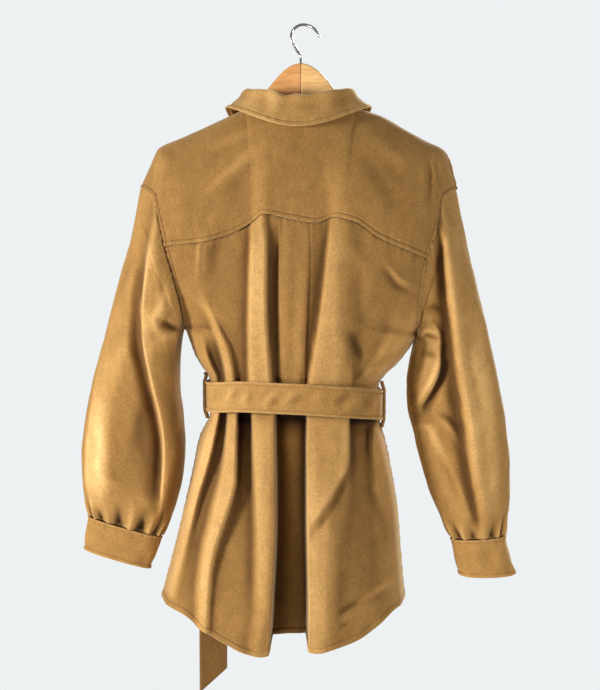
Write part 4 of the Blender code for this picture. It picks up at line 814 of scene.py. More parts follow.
def yokeGrid(backTop):
    count = len(backTop)
    top, share, first, last = yokeTop(backTop)
    bottom = backTop.copy()
    bottom[:, 2] += cloth["seamGap"]
    nearNeck = bump(np.abs(top[:, 0] - torso["middle"]) - neck["halfWidth"], 45)
    power = 1.6 + 0.3 * nearNeck
    onRidge = np.ones(count)
    onRidge[first + 1:last] = 0
    full = torso["shoulderPart"]
    smooth = smoothDepth("back", bottom[:, 0], bottom[:, 2])[0]
    extra = -bottom[:, 1] - smooth
    alongs = full * np.concatenate([[0, 0.004, 0.012, 0.025, 0.045, 0.07], np.linspace(0.1, 1, 58)])
    rows = []
    for along in alongs:
        part = (along / full) ** 1.5
        row = top + part * (bottom - top)
        rise = arcRise(part, power)
        row[:, 1] = top[:, 1] + (-smooth - top[:, 1]) * rise
        folds = backDepth(row[:, 0], row[:, 2]) - smoothDepth("back", row[:, 0], row[:, 2])[0]
        nearSeam = part ** 6
        row[:, 1] -= (folds * (1 - nearSeam) + extra * nearSeam) * softStep((part - 0.20) / 0.20)
        over = arcRise(part / 0.05, 2.0) * onRidge * bump(part, 0.25)  # rolls over the hanger's arm
        row[:, 1] -= 5 * over
        left = armholePoint("left", along, -1) if part < 1 else bottom[0]
        right = armholePoint("right", along, -1) if part < 1 else bottom[-1]
        row = row + np.outer((1 - share) ** 14, left - row[0]) + np.outer(share ** 14, right - row[-1])
        row[:, 1] = np.minimum(row[:, 1], -cloth["seamGap"] / 2)
        rows.append(row)
    rows = np.array(rows)
    for corner in (first, last):  # eases the cloth below each corner of the neck
        near = bump(np.arange(count) - corner, 9)[None, 1:-1] * np.clip(alongs / full * 8, 0, 1)[:, None]
        for _ in range(90):
            even = (rows[:, 2:, 1] + rows[:, :-2, 1]) / 2
            rows[:, 1:-1, 1] += 0.5 * near * (even - rows[:, 1:-1, 1])
    return rows, first, last


yoke = {
    "seamStitch": 7.2,        # in from its lower seam
    "seamRoll": 1.2,
    "shoulderStitch": 7,      # down from the shoulder line
    "shoulderRoll": 0.6,
    "wear": 0.12,
    # painted shade laid over the whole yoke
    "tone": -0.2,
}


def makeYoke(suede, backPoints):
    points, first, last = yokeGrid(backPoints[0])
    before = points.shape[1]
    points = refineEdge(refineEdge(points, 0, True), 1, False)
    first, last = (number + points.shape[1] - before for number in (first, last))
    points = refineEdge(points, 1, True)
    x, z = points[..., 0], points[..., 2]
    fromTop, fromSeam, fromLeft, fromRight = edgeDistances(points)
    away = softStep((fromTop - 9) / 8)  # the shoulder line itself stays as it is
    soft = 0.35 * ripple(x, z, 78, 21) + 0.15 * ripple(x, z, 30, 22)
    height = away * soft * np.clip(fromSeam / 12, 0, 1)
    height = height * np.clip(fromLeft / 10, 0, 1) * np.clip(fromRight / 10, 0, 1)
    height = height + turnedEdge(fromSeam, yoke["seamStitch"], yoke["seamRoll"]) + 0.5 * bump(fromSeam, 5)
    height = height + turnedEdge(fromLeft, cloth["sideStitch"]) + turnedEdge(fromRight, cloth["sideStitch"])
    height = height + puckers(x, fromSeam, 23) + puckers(z, fromLeft, 24) + puckers(z, fromRight, 25)
    number = np.arange(points.shape[1])[None, :]
    onArm = 1 - softStep((number - first + 1) / 2) * softStep((last - 1 - number) / 2)
    height += onArm * away * turnedEdge(fromTop, yoke["shoulderStitch"], yoke["shoulderRoll"])
    shown = dressPanel("yoke", points, height, edgeWear(fromSeam, most=yoke["wear"]), suede,
                       tone=backPaintedShading(x, z) + yoke["tone"])
    sewAlong(shown, 0, True, yoke["seamStitch"])
    sewBoth(shown, 1, cloth["sideStitch"])
    for part in (shown[:, :first - 1], shown[:, last + 2:]):
        sewAlong(part, 0, False, yoke["shoulderStitch"], skip=2)


band = {
    "width": 34,
    "across": 13,             # points across it
    "neckPoints": 34,         # of the front beside it
    "shoulderPoints": 46,
    "topRow": 9,              # of the front's rows of points, where it starts
    "frontLap": 16,
    "lift": 3.0,              # the right front lies over the left one, this far from the middle
    "lapReach": 45,
    "lapEase": 20,
    "wall": 1.6,
    "laidGap": 0.5,
    "stitch": 4,
    "roll": 0.5,
}


def frontGrid(side, lift):
    sign = -1 if side == "left" else 1
    hemZ = torso["frontHem"]["rows"][0 if side == "left" else -1][1]
    reach = neck["halfWidth"] + neck["spread"]
    neckX = torso["middle"] + sign * reach
    shoulder = armholePoint(side, 0.0, 1)
    ridgeX = np.linspace(shoulder[0], neckX, band["shoulderPoints"])
    onRidge = np.stack([ridgeX, np.full(len(ridgeX), cloth["seamGap"] / 2), ridgeZ(ridgeX)], axis=-1)
    bandAngle = math.pi - math.asin((band["width"] - band["frontLap"]) / reach)
    edgeAngle = math.pi + math.asin(band["frontLap"] / reach)
    onNeck = np.linspace(math.pi / 2, bandAngle, band["neckPoints"])
    onBand = np.linspace(bandAngle, edgeAngle, band["across"])
    angles = np.concatenate([onNeck[1:], onBand[1:]])
    top = np.concatenate([onRidge, neckRing(sign * angles, neck["spread"])])
    top[0] = shoulder
    fixed = top[-band["across"]:, 0]
    share = (top[:1 - band["across"], 0] - top[0, 0]) / (fixed[0] - top[0, 0])
    weight = np.zeros(len(top))
    weight[:len(ridgeX)] = 1
    hemX = outline(hemZ)[0 if side == "left" else 1]
    bottomX = np.concatenate([hemX + share * (fixed[0] - hemX), fixed[1:]])
    bottom = readTable(torso["frontHem"], "z", bottomX)
    underarm = (armholePoint(side, 1.0, 1)[2] - shoulder[2]) / (hemZ - shoulder[2])
    nearSide = 1 - np.linspace(0, 1, len(top))
    alongs = np.concatenate([[0, 0.006, 0.016, 0.03, 0.05], np.linspace(0.07, 1, 64)])
    downs = evenParts(0, 1, torso["sideLength"], torso["frontStep"])
    steps = [(along, 0.0) for along in alongs] + [(1.0, down) for down in downs[1:]]
    rows = []
    for along, down in steps:
        end = armholePoint(side, along, 1) if down == 0 else sideSeamEnd(side, down, hemZ)
        part = underarm * along ** 1.25 if down == 0 else underarm + (1 - underarm) * down
        x = np.concatenate([end[0] + share * (fixed[0] - end[0]), fixed[1:]])
        z = top[:, 2] + part * (bottom - top[:, 2])
        z = z + (end[2] - z[0]) * nearSide ** 8
        depth, roundness = smoothDepth("front", x, z)
        fade = np.clip(roundness * 1.5, 0, 1)
        folds = foldHeights(frontFolds, x, z) + creaseHeights(frontCreases, x, z)
        pinch = beltPinch(z, 7)
        nearBand = softStep((np.abs(x - torso["middle"]) - 26) / 14)
        full = depth + fade * (folds * nearBand + pinch + 0.8 * ripple(x, z * 0.6, 64, 31))
        rise = arcRise((top[:, 2] - z) / (top[:, 2] - torso["chestZ"]), 1.7)
        y = top[:, 1] + (full - top[:, 1]) * rise + 5 * weight * arcRise(part / 0.05, 2.0) * bump(part, 0.2)
        if down == 0:
            y = y + (end[1] - y[0]) * nearSide ** 12
        y = np.maximum(y, cloth["seamGap"] / 2)
        y = y + lift * softStep((band["lapReach"] - np.abs(x - torso["middle"])) / band["lapEase"])
        rows.append(np.stack([x, y, z], axis=-1))
    rows = np.array(rows)
    return rows if side == "right" else rows[:, ::-1]


def makeFront(side, suede):
    onRight = side == "right"
    plain = frontGrid(side, band["lift"] if onRight else 0.0)
    points = refineEdge(refineEdge(plain, 0, True), 1, not onRight)
    x, z = points[..., 0], points[..., 2]
    fromTop, fromHem, fromLeft, fromRight = edgeDistances(points)
    fromArm, fromEdge = (fromLeft, fromRight) if onRight else (fromRight, fromLeft)
    height = turnedEdge(fromHem, cloth["hemStitch"], cloth["hemRoll"])
    height += softStep((fromTop - 6) / 5) * turnedEdge(fromEdge, cloth["sideStitch"])
    height += besideSleeve(z) * turnedEdge(fromArm, cloth["sideStitch"])
    height = height + puckers(x, fromHem, 32, 18, 0.6, 26) + puckers(z, fromArm, 33)
    shown = dressPanel("front_" + side, points, height, edgeWear(fromHem, fromEdge, most=0.8), suede)
    sewAlong(shown, 0, True, cloth["hemStitch"])
    sewAlong(shown[6:], 1, onRight, cloth["sideStitch"])
    part = shown[shown[:, 0 if onRight else -1, 2] > torso["underarmZ"]]
    sewAlong(part, 1, not onRight, cloth["sideStitch"])
    return plain


# The button band, laid on the right front along its edge.
def makeBand(suede, front):
    raised = front + gridNormals(front) * (band["laidGap"] + band["wall"])
    laid = raised[band["topRow"]:, -band["across"]:]
    fromOne, fromOther = edgeDistances(laid)[2:]
    height = 0.6 * sum(turnedEdge(reach, band["stitch"], band["roll"]) for reach in (fromOne, fromOther))
    shown = dressPanel("front_band", laid, height, edgeWear(fromOne, fromOther), suede, band["wall"])
    sewBoth(shown, 1, band["stitch"])
    return laid


collar = {
    "standFoot": 1,
    "standHeight": 22,
    "standFrontRise": 2,
    "standClose": 1.5,        # its top stands this much closer to the neck than its foot
    "standLean": -4,
    "standDown": 10,          # points down it
    "standStitch": 4,
    "standRoll": 0.4,
    "roll": ((-3.6, 3.1), (-2.2, 5.3), (0.6, 6.5), (4.6, 4.8)),  # out from the stand, above its top
    "drop": (50, -26, 28),    # middle of the back, and what sides and front ends add
    "reach": (17, 10, -12),
    "standOff": (6, 0, 6),
    "levels": (0.25, 0.5, 0.75, 1.0),
    "curve": 1.2,
    "frontAngle": 135,
    "frontEase": 40,
    "endAngle": 176,
    "around": 300,
    "down": 40,
    "dips": ((-14, 6.5, 9), (1, 3.0, 8), (13, 6.0, 9)),  # of its top behind the neck: turn, depth, width
    "stitch": 8.0,            # in from its free edge
    "edgeRoll": 1.4,
    # a little painted highlight laid over the whole collar
    "tone": 0.16,
    # Soft dents and ridges: turn about the neck in degrees, share of the way down, height, widths.
    "dents": (
        (-24, 0.30, 2.2, 9, 0.30), (-36, 0.55, -1.8, 8, 0.30), (-52, 0.45, 1.6, 10, 0.35),
        (12, 0.5, -1.4, 16, 0.4), (30, 0.35, 1.6, 10, 0.3), (48, 0.6, -1.8, 11, 0.35),
        (70, 0.4, 1.4, 12, 0.4), (-78, 0.5, -1.6, 14, 0.4), (104, 0.5, 1.6, 14, 0.4),
        (-108, 0.4, 1.4, 14, 0.4), (140, 0.5, -1.8, 12, 0.4), (-140, 0.6, 1.8, 12, 0.4)),
}


def outwardAt(angles):
    step = 0.01
    along = neckRing(angles + step) - neckRing(angles - step)
    return unit(np.stack([along[:, 1], -along[:, 0], np.zeros(len(angles))], axis=-1))


def makeStand(suede):
    reach = math.radians(collar["endAngle"])
    angles = np.linspace(-reach, reach, collar["around"] + 1)
    base = neckRing(angles)
    away = outwardAt(angles)
    frontAngle, frontEase = (math.radians(collar[key]) for key in ("frontAngle", "frontEase"))
    front = softStep((np.abs(angles) - frontAngle) / frontEase)
    top = base + np.outer(collar["standHeight"] + collar["standFrontRise"] * front, (0, 0, 1))
    top -= away * collar["standClose"]
    top[:, 0] += collar["standLean"] * (1 - front)
    for turn, deep, wide in collar["dips"]:
        top[:, 2] -= deep * bump(np.degrees(angles) - turn, wide)
    low = base + (0, 0, collar["standFoot"])
    edge = top + away * cloth["doubleWall"] / 2
    stand = edge + np.linspace(0, 1, collar["standDown"])[:, None, None] * (low - top)
    fromTop, fromFoot = edgeDistances(stand)[:2]
    turned = (turnedEdge(reach, collar["standStitch"], collar["standRoll"]) for reach in (fromTop, fromFoot))
    height = 0.25 * sum(turned)
    dressPanel("collar_stand", stand, height, edgeWear(fromFoot), suede, cloth["doubleWall"])
    return angles, away, front, edge


# From the stand's top edge over the roll and down to the free edge.
def collarGrid(angles, away, front, edge):
    up = np.array([0.0, 0.0, 1.0])
    shares = np.stack([np.ones(len(angles)), np.abs(np.sin(angles)) ** 2, front])
    drop, reachOut, standOff = (np.array(collar[key]) @ shares for key in ("drop", "reach", "standOff"))
    profile = [edge + away * out + up * rise for out, rise in collar["roll"]]
    for down in collar["levels"]:
        out = standOff + reachOut * down ** collar["curve"]
        profile.append(edge + away * out[:, None] - np.outer(drop * down, up))
    profile = np.array(profile)
    knots = np.concatenate([[0], np.cumsum(np.linalg.norm(np.diff(profile, axis=0), axis=2).mean(axis=1))])
    at = np.concatenate([np.linspace(0, knots[3], 14)[:-1], np.linspace(knots[3], knots[-1], collar["down"])])
    rows = np.zeros((len(at), len(angles), 3))
    for k in range(3):
        for j in range(len(angles)):
            rows[:, j, k] = smoothCurve(knots, profile[:, j, k], at)
    fallen = np.arange(len(at))[:, None] / (len(at) - 1)
    for turn, deep, wide in collar["dips"]:  # the lower edge keeps its height
        rows[..., 2] += deep * bump(np.degrees(angles) - turn, wide)[None] * softStep((fallen - 0.62) / 0.3)
    for axis, fromEnd in ((0, True), (1, False), (1, True)):
        rows = refineEdge(rows, axis, fromEnd)
    angles = np.interp(np.linspace(0, 1, rows.shape[1]), np.linspace(0, 1, len(angles)), angles)
    return rows, np.degrees(angles)[None, :]


def makeCollar(suede):
    rows, degrees = collarGrid(*makeStand(suede))
    fromRoll, fromEdge, fromLeft, fromRight = edgeDistances(rows)
    fromEnds = np.minimum(fromLeft, fromRight)
    downShare = fromRoll / (fromRoll + fromEdge)
    along = degrees * 1.4
    dents = 0.55 * ripple(along, fromRoll, 46, 41)
    for turn, part, rise, width, tall in collar["dents"]:
        dents += rise * bump(degrees - turn, width) * bump(downShare - part, tall)
    height = dents * np.clip(fromRoll / 14, 0, 1) * np.clip(fromEdge / 9, 0, 1) * np.clip(fromEnds / 10, 0, 1)
    nearEdge = np.minimum(fromEdge, fromEnds)
    height += turnedEdge(nearEdge, collar["stitch"], collar["edgeRoll"])
    height += puckers(along, fromEdge, 42, 14, 0.5, 12)
    height -= 0.9 * bump(fromRoll - 9, 5) * (1 + 0.6 * ripple(along, 0 * degrees, 30, 43))
    wear = edgeWear(nearEdge, most=0.35) + 0.12 * bump(fromRoll - 5, 6)
    # Painted light: lighter on the dents' bulges and on the left facet, painted shade just under the roll.
    tone = collar["tone"] + 0.12 * dents + 0.22 * bump(degrees + 35, 26) - 0.30 * bump(fromRoll - 1, 5)
    shown = dressPanel("collar", rows, height, wear, suede, cloth["doubleWall"], tone=tone)
    sewAlong(shown, 0, True, collar["stitch"], skip=9)
    sewBoth(shown[14:-9], 1, collar["stitch"])


sleeves = {
    "around": 168,
    "rings": 190,
    "corner": 2.2,            # 2 is an ellipse, more is squarer
    # a little painted shade laid over each whole sleeve
    "tone": -0.06,
    "away": (0.956, -0.293),  # the way the sleeve leaves the armhole
    "tuckedIn": 4.0,          # of cloth past the armhole's seam, under the panels
    "tuckedDepth": 0.94,
    "topMarks": (0, 0.8, 1.8, 3, 4.5, 6, 8),
    "stay": 0.22,             # of the way down, it still follows the armhole's own ring
    "plainTop": 0.06,         # of the way down, before its folds begin
    "gatherRise": 1.45,
    "columns": ("outX", "outZ", "inX", "inZ", "back", "front"),
    "left": (
        (-251, -245, -184.5, -464, 44, 42), (-257, -280, -187, -470, 46, 44),
        (-266, -322, -189.5, -480, 47, 45), (-281, -372, -191, -496, 47, 46),
        (-297, -430, -192, -521, 46, 46), (-313, -492, -192, -556, 45, 46),
        (-329, -550, -187, -602, 43, 46), (-341, -610, -185, -646, 43, 46),
        (-347, -662, -188, -690, 42, 44), (-346, -706, -196, -729, 38, 40),
        (-341, -737, -208, -763, 29, 30), (-335, -757, -223, -789, 15, 15)),
    "right": (
        (237, -249, 178.5, -474, 44, 42), (243, -286, 179, -482, 46, 44),
        (253, -330, 174.5, -497, 47, 46), (265, -378, 167, -518, 48, 47),
        (279, -435, 161.5, -548, 48, 48), (294, -498, 163, -584, 48, 50), (307, -558, 172, -624, 48, 50),
        (317, -617, 183, -668, 48, 50), (323, -675, 196, -712, 47, 49), (324, -722, 211, -749, 44, 46),
        (321, -757, 224, -776, 37, 38), (316, -786, 234, -791, 28, 28)),
    # The long fold down each back: where it runs, the step across it and the trough beside it.
    "leftFold": {
        "columns": ("z", "x", "rise", "trough"),
        "rows": (
            (-255, -223, 2, 0), (-275, -224, 6, -2), (-300, -227, 10, -3), (-358, -237, 14, -6),
            (-464, -244, 15, -7), (-537, -233, 15, -8), (-600, -219, 14, -8), (-635, -215, 13, -8),
            (-690, -217, 9, -6), (-732, -221, 4, -3), (-760, -226, 0, 0)),
    },
    "rightFold": {
        "columns": ("z", "x", "rise", "trough"),
        "rows": (
            (-255, 205, 0, 0), (-300, 209, -7, 3), (-373, 216, -13, 5), (-440, 223, -15, 6),
            (-508, 230, -16, 6), (-600, 246, -15, 6), (-692, 259, -12, 5), (-745, 268, -7, 3),
            (-785, 275, 0, 0)),
    },
    "leftCreases": (
        (((-214, -451), (-202, -459), (-184, -467)), -9, 5, 4),
        (((-226, -446), (-212, -468), (-192, -478)), 3.5, 5, 8),
        (((-318, -560), (-314, -617), (-310, -659), (-316, -712)), 3, 14, 8),
        (((-200, -402), (-213, -430), (-227, -456)), 4.5, 11, 7),
        (((-214, -366), (-208, -400), (-200, -430)), -4, 8, 8), (((-236, -312), (-222, -326)), -3, 4, 5),
        (((-212, -540), (-202, -590), (-198, -640)), -3, 10, 10),
        (((-270, -330), (-278, -390), (-282, -440)), -3, 12, 14),
        (((-250, -270), (-262, -330)), 2.6, 8, 8),
        (((-262, -470), (-284, -520), (-292, -570)), 2.8, 12, 14),
        (((-232, -560), (-252, -620), (-262, -680)), -2.6, 14, 12),
        (((-330, -650), (-300, -700), (-262, -716)), 2.4, 9, 10),
        (((-196, -650), (-214, -690), (-222, -730)), 2.6, 8, 8)),
    "rightCreases": (
        (((174, -478), (188, -472), (208, -478)), -8, 5, 4),
        (((178, -618), (201, -615), (222, -662), (240, -704), (262, -768)), 1.8, 5, 4),
        (((206, -594), (230, -620), (246, -650)), 1.6, 5, 5),
        (((172, -474), (190, -470), (206, -477)), 4.5, 6, 8), (((180, -497), (206, -505)), -3.5, 5, 6),
        (((212, -503), (194, -545), (171, -585)), 6, 8, 5),
        (((221, -512), (204, -556), (180, -596)), -4.5, 6, 8),
        (((168, -618), (193, -615), (222, -674)), 4, 6, 7),
        (((208, -592), (226, -602), (244, -620)), -3.2, 5, 6),
        (((182, -432), (198, -428), (212, -436)), -2.6, 5, 6),
        (((246, -330), (256, -400), (264, -470)), -2.6, 12, 12), (((228, -290), (238, -350)), 2.6, 9, 9),
        (((250, -480), (276, -540), (288, -600)), 2.4, 14, 14),
        (((206, -640), (228, -690), (240, -730)), -3, 9, 10),
        (((300, -660), (292, -700), (270, -730)), 2.4, 9, 10)),
    "frontCreases": (
        (((-206, -330), (-236, -400), (-246, -470)), -3.4, 9, 9),
        (((-262, -420), (-286, -500), (-300, -560)), 3, 12, 12),
        (((-212, -520), (-252, -540), (-290, -530)), -3.6, 6, 7),
        (((-206, -545), (-240, -572), (-286, -572)), 3.4, 7, 7),
        (((-226, -640), (-270, -668), (-310, -670)), -3, 8, 8),
        (((196, -340), (222, -410), (230, -480)), -3.4, 9, 9),
        (((246, -420), (270, -500), (282, -560)), 3, 12, 12),
        (((186, -540), (226, -556), (266, -548)), -3.6, 6, 7),
        (((184, -566), (222, -586), (264, -588)), 3.4, 7, 7),
        (((206, -660), (250, -690), (296, -694)), -3, 8, 8)),
    # Bands of the back of each sleeve, written as those of the back panel, with painted highlight on the rims
    # and outer faces and painted shade beside the rims and at the inner edges.
    "leftBands": {
        "rim": (
            (-283, -221.7, -215.7, 0.5, 2, 4, 0.2), (-343, -231.2, -223.7, 1, 2, 5, 0.5),
            (-404, -242.3, -234, 1.5, 2, 5, 0.6), (-434, -247.8, -238, 2, 2, 5, 0.55),
            (-464, -242.8, -232.2, 2, 2, 5, 0.35), (-494, -241.5, -230.9, 1.5, 2, 5, 0.45),
            (-532, -238.1, -227.4, 1.5, 2, 5, 0.5), (-571, -230, -220.1, 1.5, 2, 5, 0.55),
            (-616, -221.2, -212.1, 1.5, 2, 4, 0.5), (-663, -217, -209.4, 1.5, 2, 4, 0.5),
            (-709, -219.7, -211.3, 1, 2, 4, 0.4), (-732, -222.1, -214.5, 0.5, 2, 4, 0.1)),
        "beside the rim": (
            (-306, -236.9, -224.9, 0, 6, 2, -0.1), (-404, -255.9, -242.3, 0, 8, 2, -0.16),
            (-494, -261.2, -241.5, 0, 10, 2, -0.18), (-571, -255.9, -230.8, 0, 14, 2, -0.3),
            (-616, -251.7, -222, -1, 14, 2, -0.36), (-678, -246.1, -217.9, -1, 14, 2, -0.36),
            (-716, -241.9, -220.5, -1, 10, 2, -0.3)),
        "outer light": (
            (-494, -311.3, -296.1, 0, 4, 10, 0.05), (-555, -324.1, -299.8, 0, 4, 12, 0.4),
            (-601, -330.7, -303.3, 0.5, 4, 12, 0.8), (-647, -335.8, -303.8, 1, 4, 12, 1),
            (-693, -337.9, -304.3, 1, 4, 12, 0.9), (-727, -332.2, -306.2, 0, 4, 10, 0.4)),
        "outer upper": (
            (-313, -258.1, -237, 0, 6, 8, 0.05), (-419, -289.3, -256, 0, 6, 14, 0.1),
            (-525, -305.5, -272.1, 0, 6, 14, 0.12)),
        "outer brown": (
            (-540, -284.4, -248, 0, 10, 10, -0.05), (-616, -291.3, -239.5, -1, 10, 10, -0.14),
            (-709, -295.3, -237.2, -1, 10, 10, -0.16)),
        "inner upper": (
            (-321, -222, -209.9, 0, 4, 6, 0.15), (-373, -229.9, -204.3, 0, 5, 8, 0.12),
            (-419, -231.8, -198.5, 1, 5, 8, 0.15), (-443, -238.1, -207.8, 3, 5, 6, 0.3),
            (-458, -238.2, -217, 2, 4, 5, 0.15)),
        "under the crease": (
            (-469, -229.2, -192.8, 0, 4, 4, 0.1), (-482, -229.3, -189.9, 2, 4, 4, 0.16),
            (-504, -229.5, -196.1, 1, 5, 8, -0.05), (-528, -223.6, -196.3, 0, 6, 8, -0.02)),
        "inner edge": (
            (-487, -202.1, -185.4, 0, 8, 2, -0.3), (-571, -204.2, -185.9, 0, 8, 2, -0.3),
            (-647, -200.1, -181.8, 0, 8, 2, -0.34), (-709, -206.7, -185.3, 0, 8, 2, -0.3),
            (-755, -222.3, -197.8, 0, 8, 2, -0.2)),
    },
    "rightBands": {
        "outer rim": (
            (-286, 208.7, 216.2, 0.5, 2, 5, 0.36), (-358, 212.3, 222.8, 1, 2, 6, 0.4),
            (-419, 218.8, 230.9, 1, 2, 8, 0.38), (-494, 228.5, 242.1, 1, 2, 8, 0.3),
            (-571, 239.8, 251.9, 1, 2, 8, 0.28), (-693, 257.6, 269.9, 1, 2, 8, 0.26)),
        "outer light": (
            (-449, 237.2, 270.5, 0, 10, 8, 0.2), (-525, 248.5, 284.9, 1, 12, 8, 0.42),
            (-601, 256.8, 293.3, 1, 12, 8, 0.52), (-678, 266.7, 300.2, 1, 12, 8, 0.46),
            (-737, 273.3, 300.9, 0, 10, 8, 0.3)),
        "outer upper": (
            (-268, 214.6, 238.6, 0, 6, 8, 0.1), (-358, 224.3, 257.5, 0, 8, 8, 0.14),
            (-449, 237.2, 276.6, 0, 8, 8, 0.14)),
        "beside it": (
            (-273, 201.8, 207.8, 0, 3, 1.6, -0.3), (-343, 200.1, 211.4, -1, 4, 1.6, -0.42),
            (-419, 203.7, 218.8, -1, 6, 1.6, -0.42), (-479, 211.7, 226.9, -1, 8, 1.6, -0.36),
            (-540, 215.2, 234.9, 0, 8, 1.6, -0.28), (-616, 226.5, 245.5, 0, 8, 1.6, -0.3),
            (-693, 239.3, 257.6, 0, 8, 1.6, -0.3), (-755, 255.2, 270.5, 0, 6, 1.6, -0.35)),
        "light strip": (
            (-313, 189.3, 199.9, 0, 3, 3, 0.2), (-373, 182.2, 200.3, 0, 3, 4, 0.28),
            (-419, 179.5, 196.1, 0, 3, 4, 0.2), (-446, 178.1, 194.8, 1, 3, 4, 0.15)),
        "inner edge": (
            (-487, 149.6, 172.3, 0, 2, 6, -0.3), (-571, 153.1, 174.4, 0, 2, 6, -0.36),
            (-647, 162.7, 181, 0, 2, 8, -0.3), (-724, 184.6, 202.9, 0, 2, 8, -0.25),
            (-771, 206.3, 224.7, 0, 2, 8, -0.25)),
        "puff": (
            (-452, 176.7, 197.9, 2, 4, 4, 0.12), (-469, 176.8, 208.6, 5, 4, 3, 0.3),
            (-485, 186, 211, 4, 4, 3, 0.3), (-517, 183.2, 209, 5, 5, 2, 0.38),
            (-548, 178.8, 201.6, 4, 5, 2, 0.34), (-580, 176, 186.6, 1.5, 3, 2, 0.1)),
        "right of the puff": (
            (-476, 210.2, 216.2, 0, 1.6, 4, -0.2), (-494, 210.3, 217.9, -2, 1.6, 5, -0.4),
            (-532, 209.1, 218.2, -3, 1.6, 6, -0.45), (-558, 197.1, 209.3, -3, 1.6, 6, -0.4),
            (-583, 183.6, 197.3, -2, 1.6, 6, -0.3)),
        "lower facet": (
            (-620, 183.9, 202.1, 0, 6, 3, 0.1), (-663, 193.3, 220.7, 1, 8, 3, 0.14),
            (-724, 218.2, 248.8, 1, 8, 3, 0.14), (-763, 233.8, 264.4, 0, 8, 3, 0.05)),
    },
    # Gathers above each cuff: turn in degrees round from the left end, height, width, how far up it runs.
    "gathers": {
        "left": (
            (8, 2.6, 6, 34), (24, -3.6, 6, 40), (38, 3, 6, 44), (52, -2.6, 5, 26), (66, 2.4, 7, 36),
            (82, -4, 6, 46), (97, 3.8, 6, 50), (112, -5, 8, 44), (128, 3.4, 6, 38), (142, -3.4, 5, 50),
            (154, 2.8, 6, 34), (168, -3, 6, 40), (186, 2.6, 8, 34), (205, -3.2, 8, 40), (226, 3, 9, 44),
            (246, -3.4, 8, 36), (268, 3.2, 9, 46), (288, -3, 8, 38), (308, 3, 8, 34), (326, -3.2, 8, 42),
            (344, 2.6, 7, 36)),
        "right": (
            (12, -3.6, 7, 60), (26, 3.4, 6, 50), (42, -3, 6, 36), (58, 2.8, 7, 34), (76, -2.4, 7, 28),
            (94, 2.6, 8, 32), (112, -2.6, 7, 30), (128, 2.6, 6, 34), (142, -4.4, 6, 46),
            (156, 3.4, 6, 38), (170, -3.6, 6, 34), (188, 2.6, 8, 34), (206, -3.2, 8, 40), (228, 3, 9, 44),
            (248, -3.4, 8, 36), (268, 3.2, 9, 46), (290, -3, 8, 38), (310, 3, 8, 34), (330, -3.2, 8, 42),
            (348, 2.6, 7, 36)),
    },
}


def ovalRing(leftEnd, rightEnd, back, front, around, corner):
    turn = np.linspace(0, 2 * math.pi, around, endpoint=False)
    middle = (leftEnd + rightEnd) / 2
    half = (rightEnd - leftEnd) / 2
    along = -np.sign(np.cos(turn)) * np.abs(np.cos(turn)) ** (2 / corner)
    depth = np.abs(np.sin(turn)) ** (2 / corner)
    points = middle + np.outer(along, half)
    points[:, 1] += np.where(np.sin(turn) > 0, -back * depth, front * depth)
    return points, turn


def ringAt(table, side, along):  # one ring of a sleeve or a cuff
    rows = np.array(table[side], float)
    knots = np.linspace(0, 1, len(rows))
    size = {name: float(smoothCurve(knots, values, along)) for name, values in zip(table["columns"], rows.T)}
    outer = np.array([size["outX"], 0.0, size["outZ"]])
    inner = np.array([size["inX"], 0.0, size["inZ"]])
    leftEnd, rightEnd = (outer, inner) if side == "left" else (inner, outer)
    return ovalRing(leftEnd, rightEnd, size["back"], size["front"], table["around"], table["corner"])


def armholeRing(side, turn):
    onBack = turn <= math.pi
    part = np.where(onBack, turn / math.pi, 2 - turn / math.pi)
    if side == "right":
        part = 1 - part
    points = armholePoint(side, part, np.where(onBack, -1, 1))
    sign = -1 if side == "left" else 1
    away = np.array([sign * sleeves["away"][0], 0.0, sleeves["away"][1]])
    return points + away * cloth["turnedGap"]


def sleeveGrid(side):
    fold = sleeves[side + "Fold"]
    sign = -1 if side == "left" else 1
    firstRing, turn = ringAt(sleeves, side, 0.0)
    shift = armholeRing(side, turn) - firstRing
    rings = []
    for along in np.linspace(0, 1, sleeves["rings"] + 1):
        points = ringAt(sleeves, side, along)[0]
        points = points + (1 - softStep(along / sleeves["stay"] - 1)) * shift
        x, z = points[:, 0], points[:, 2]
        settled = min(1.0, along / sleeves["plainTop"])
        onBack = np.clip(np.sin(turn) * 2.2, 0, 1) * settled
        onFront = np.clip(-np.sin(turn) * 2.2, 0, 1) * settled
        outside = sign * (x - readTable(fold, "x", z))  # more than 0 on the sleeve's outer side
        rise = readTable(fold, "rise", z)
        trough = readTable(fold, "trough", z)
        sharp = 1 - softStep(outside / 3.2)
        gentle = 1 - softStep(outside / 14)
        dip = bump(outside - 9, 9)
        lip = 1.6 * bump(outside + 3, 4) * np.abs(rise) / 12
        points[:, 1] -= onBack * (rise * sharp + trough * dip + lip)
        points[:, 1] += onFront * 0.55 * (rise * gentle + trough * bump(outside - 16, 14))
        bands = bandHeights(sleeves[side + "Bands"], x, z)[0]
        points[:, 1] -= onBack * (bands + creaseHeights(sleeves[side + "Creases"], x, z))
        points[:, 1] += onFront * creaseHeights(sleeves["frontCreases"], x, z)
        rings.append(points)
    return np.array(rings), turn


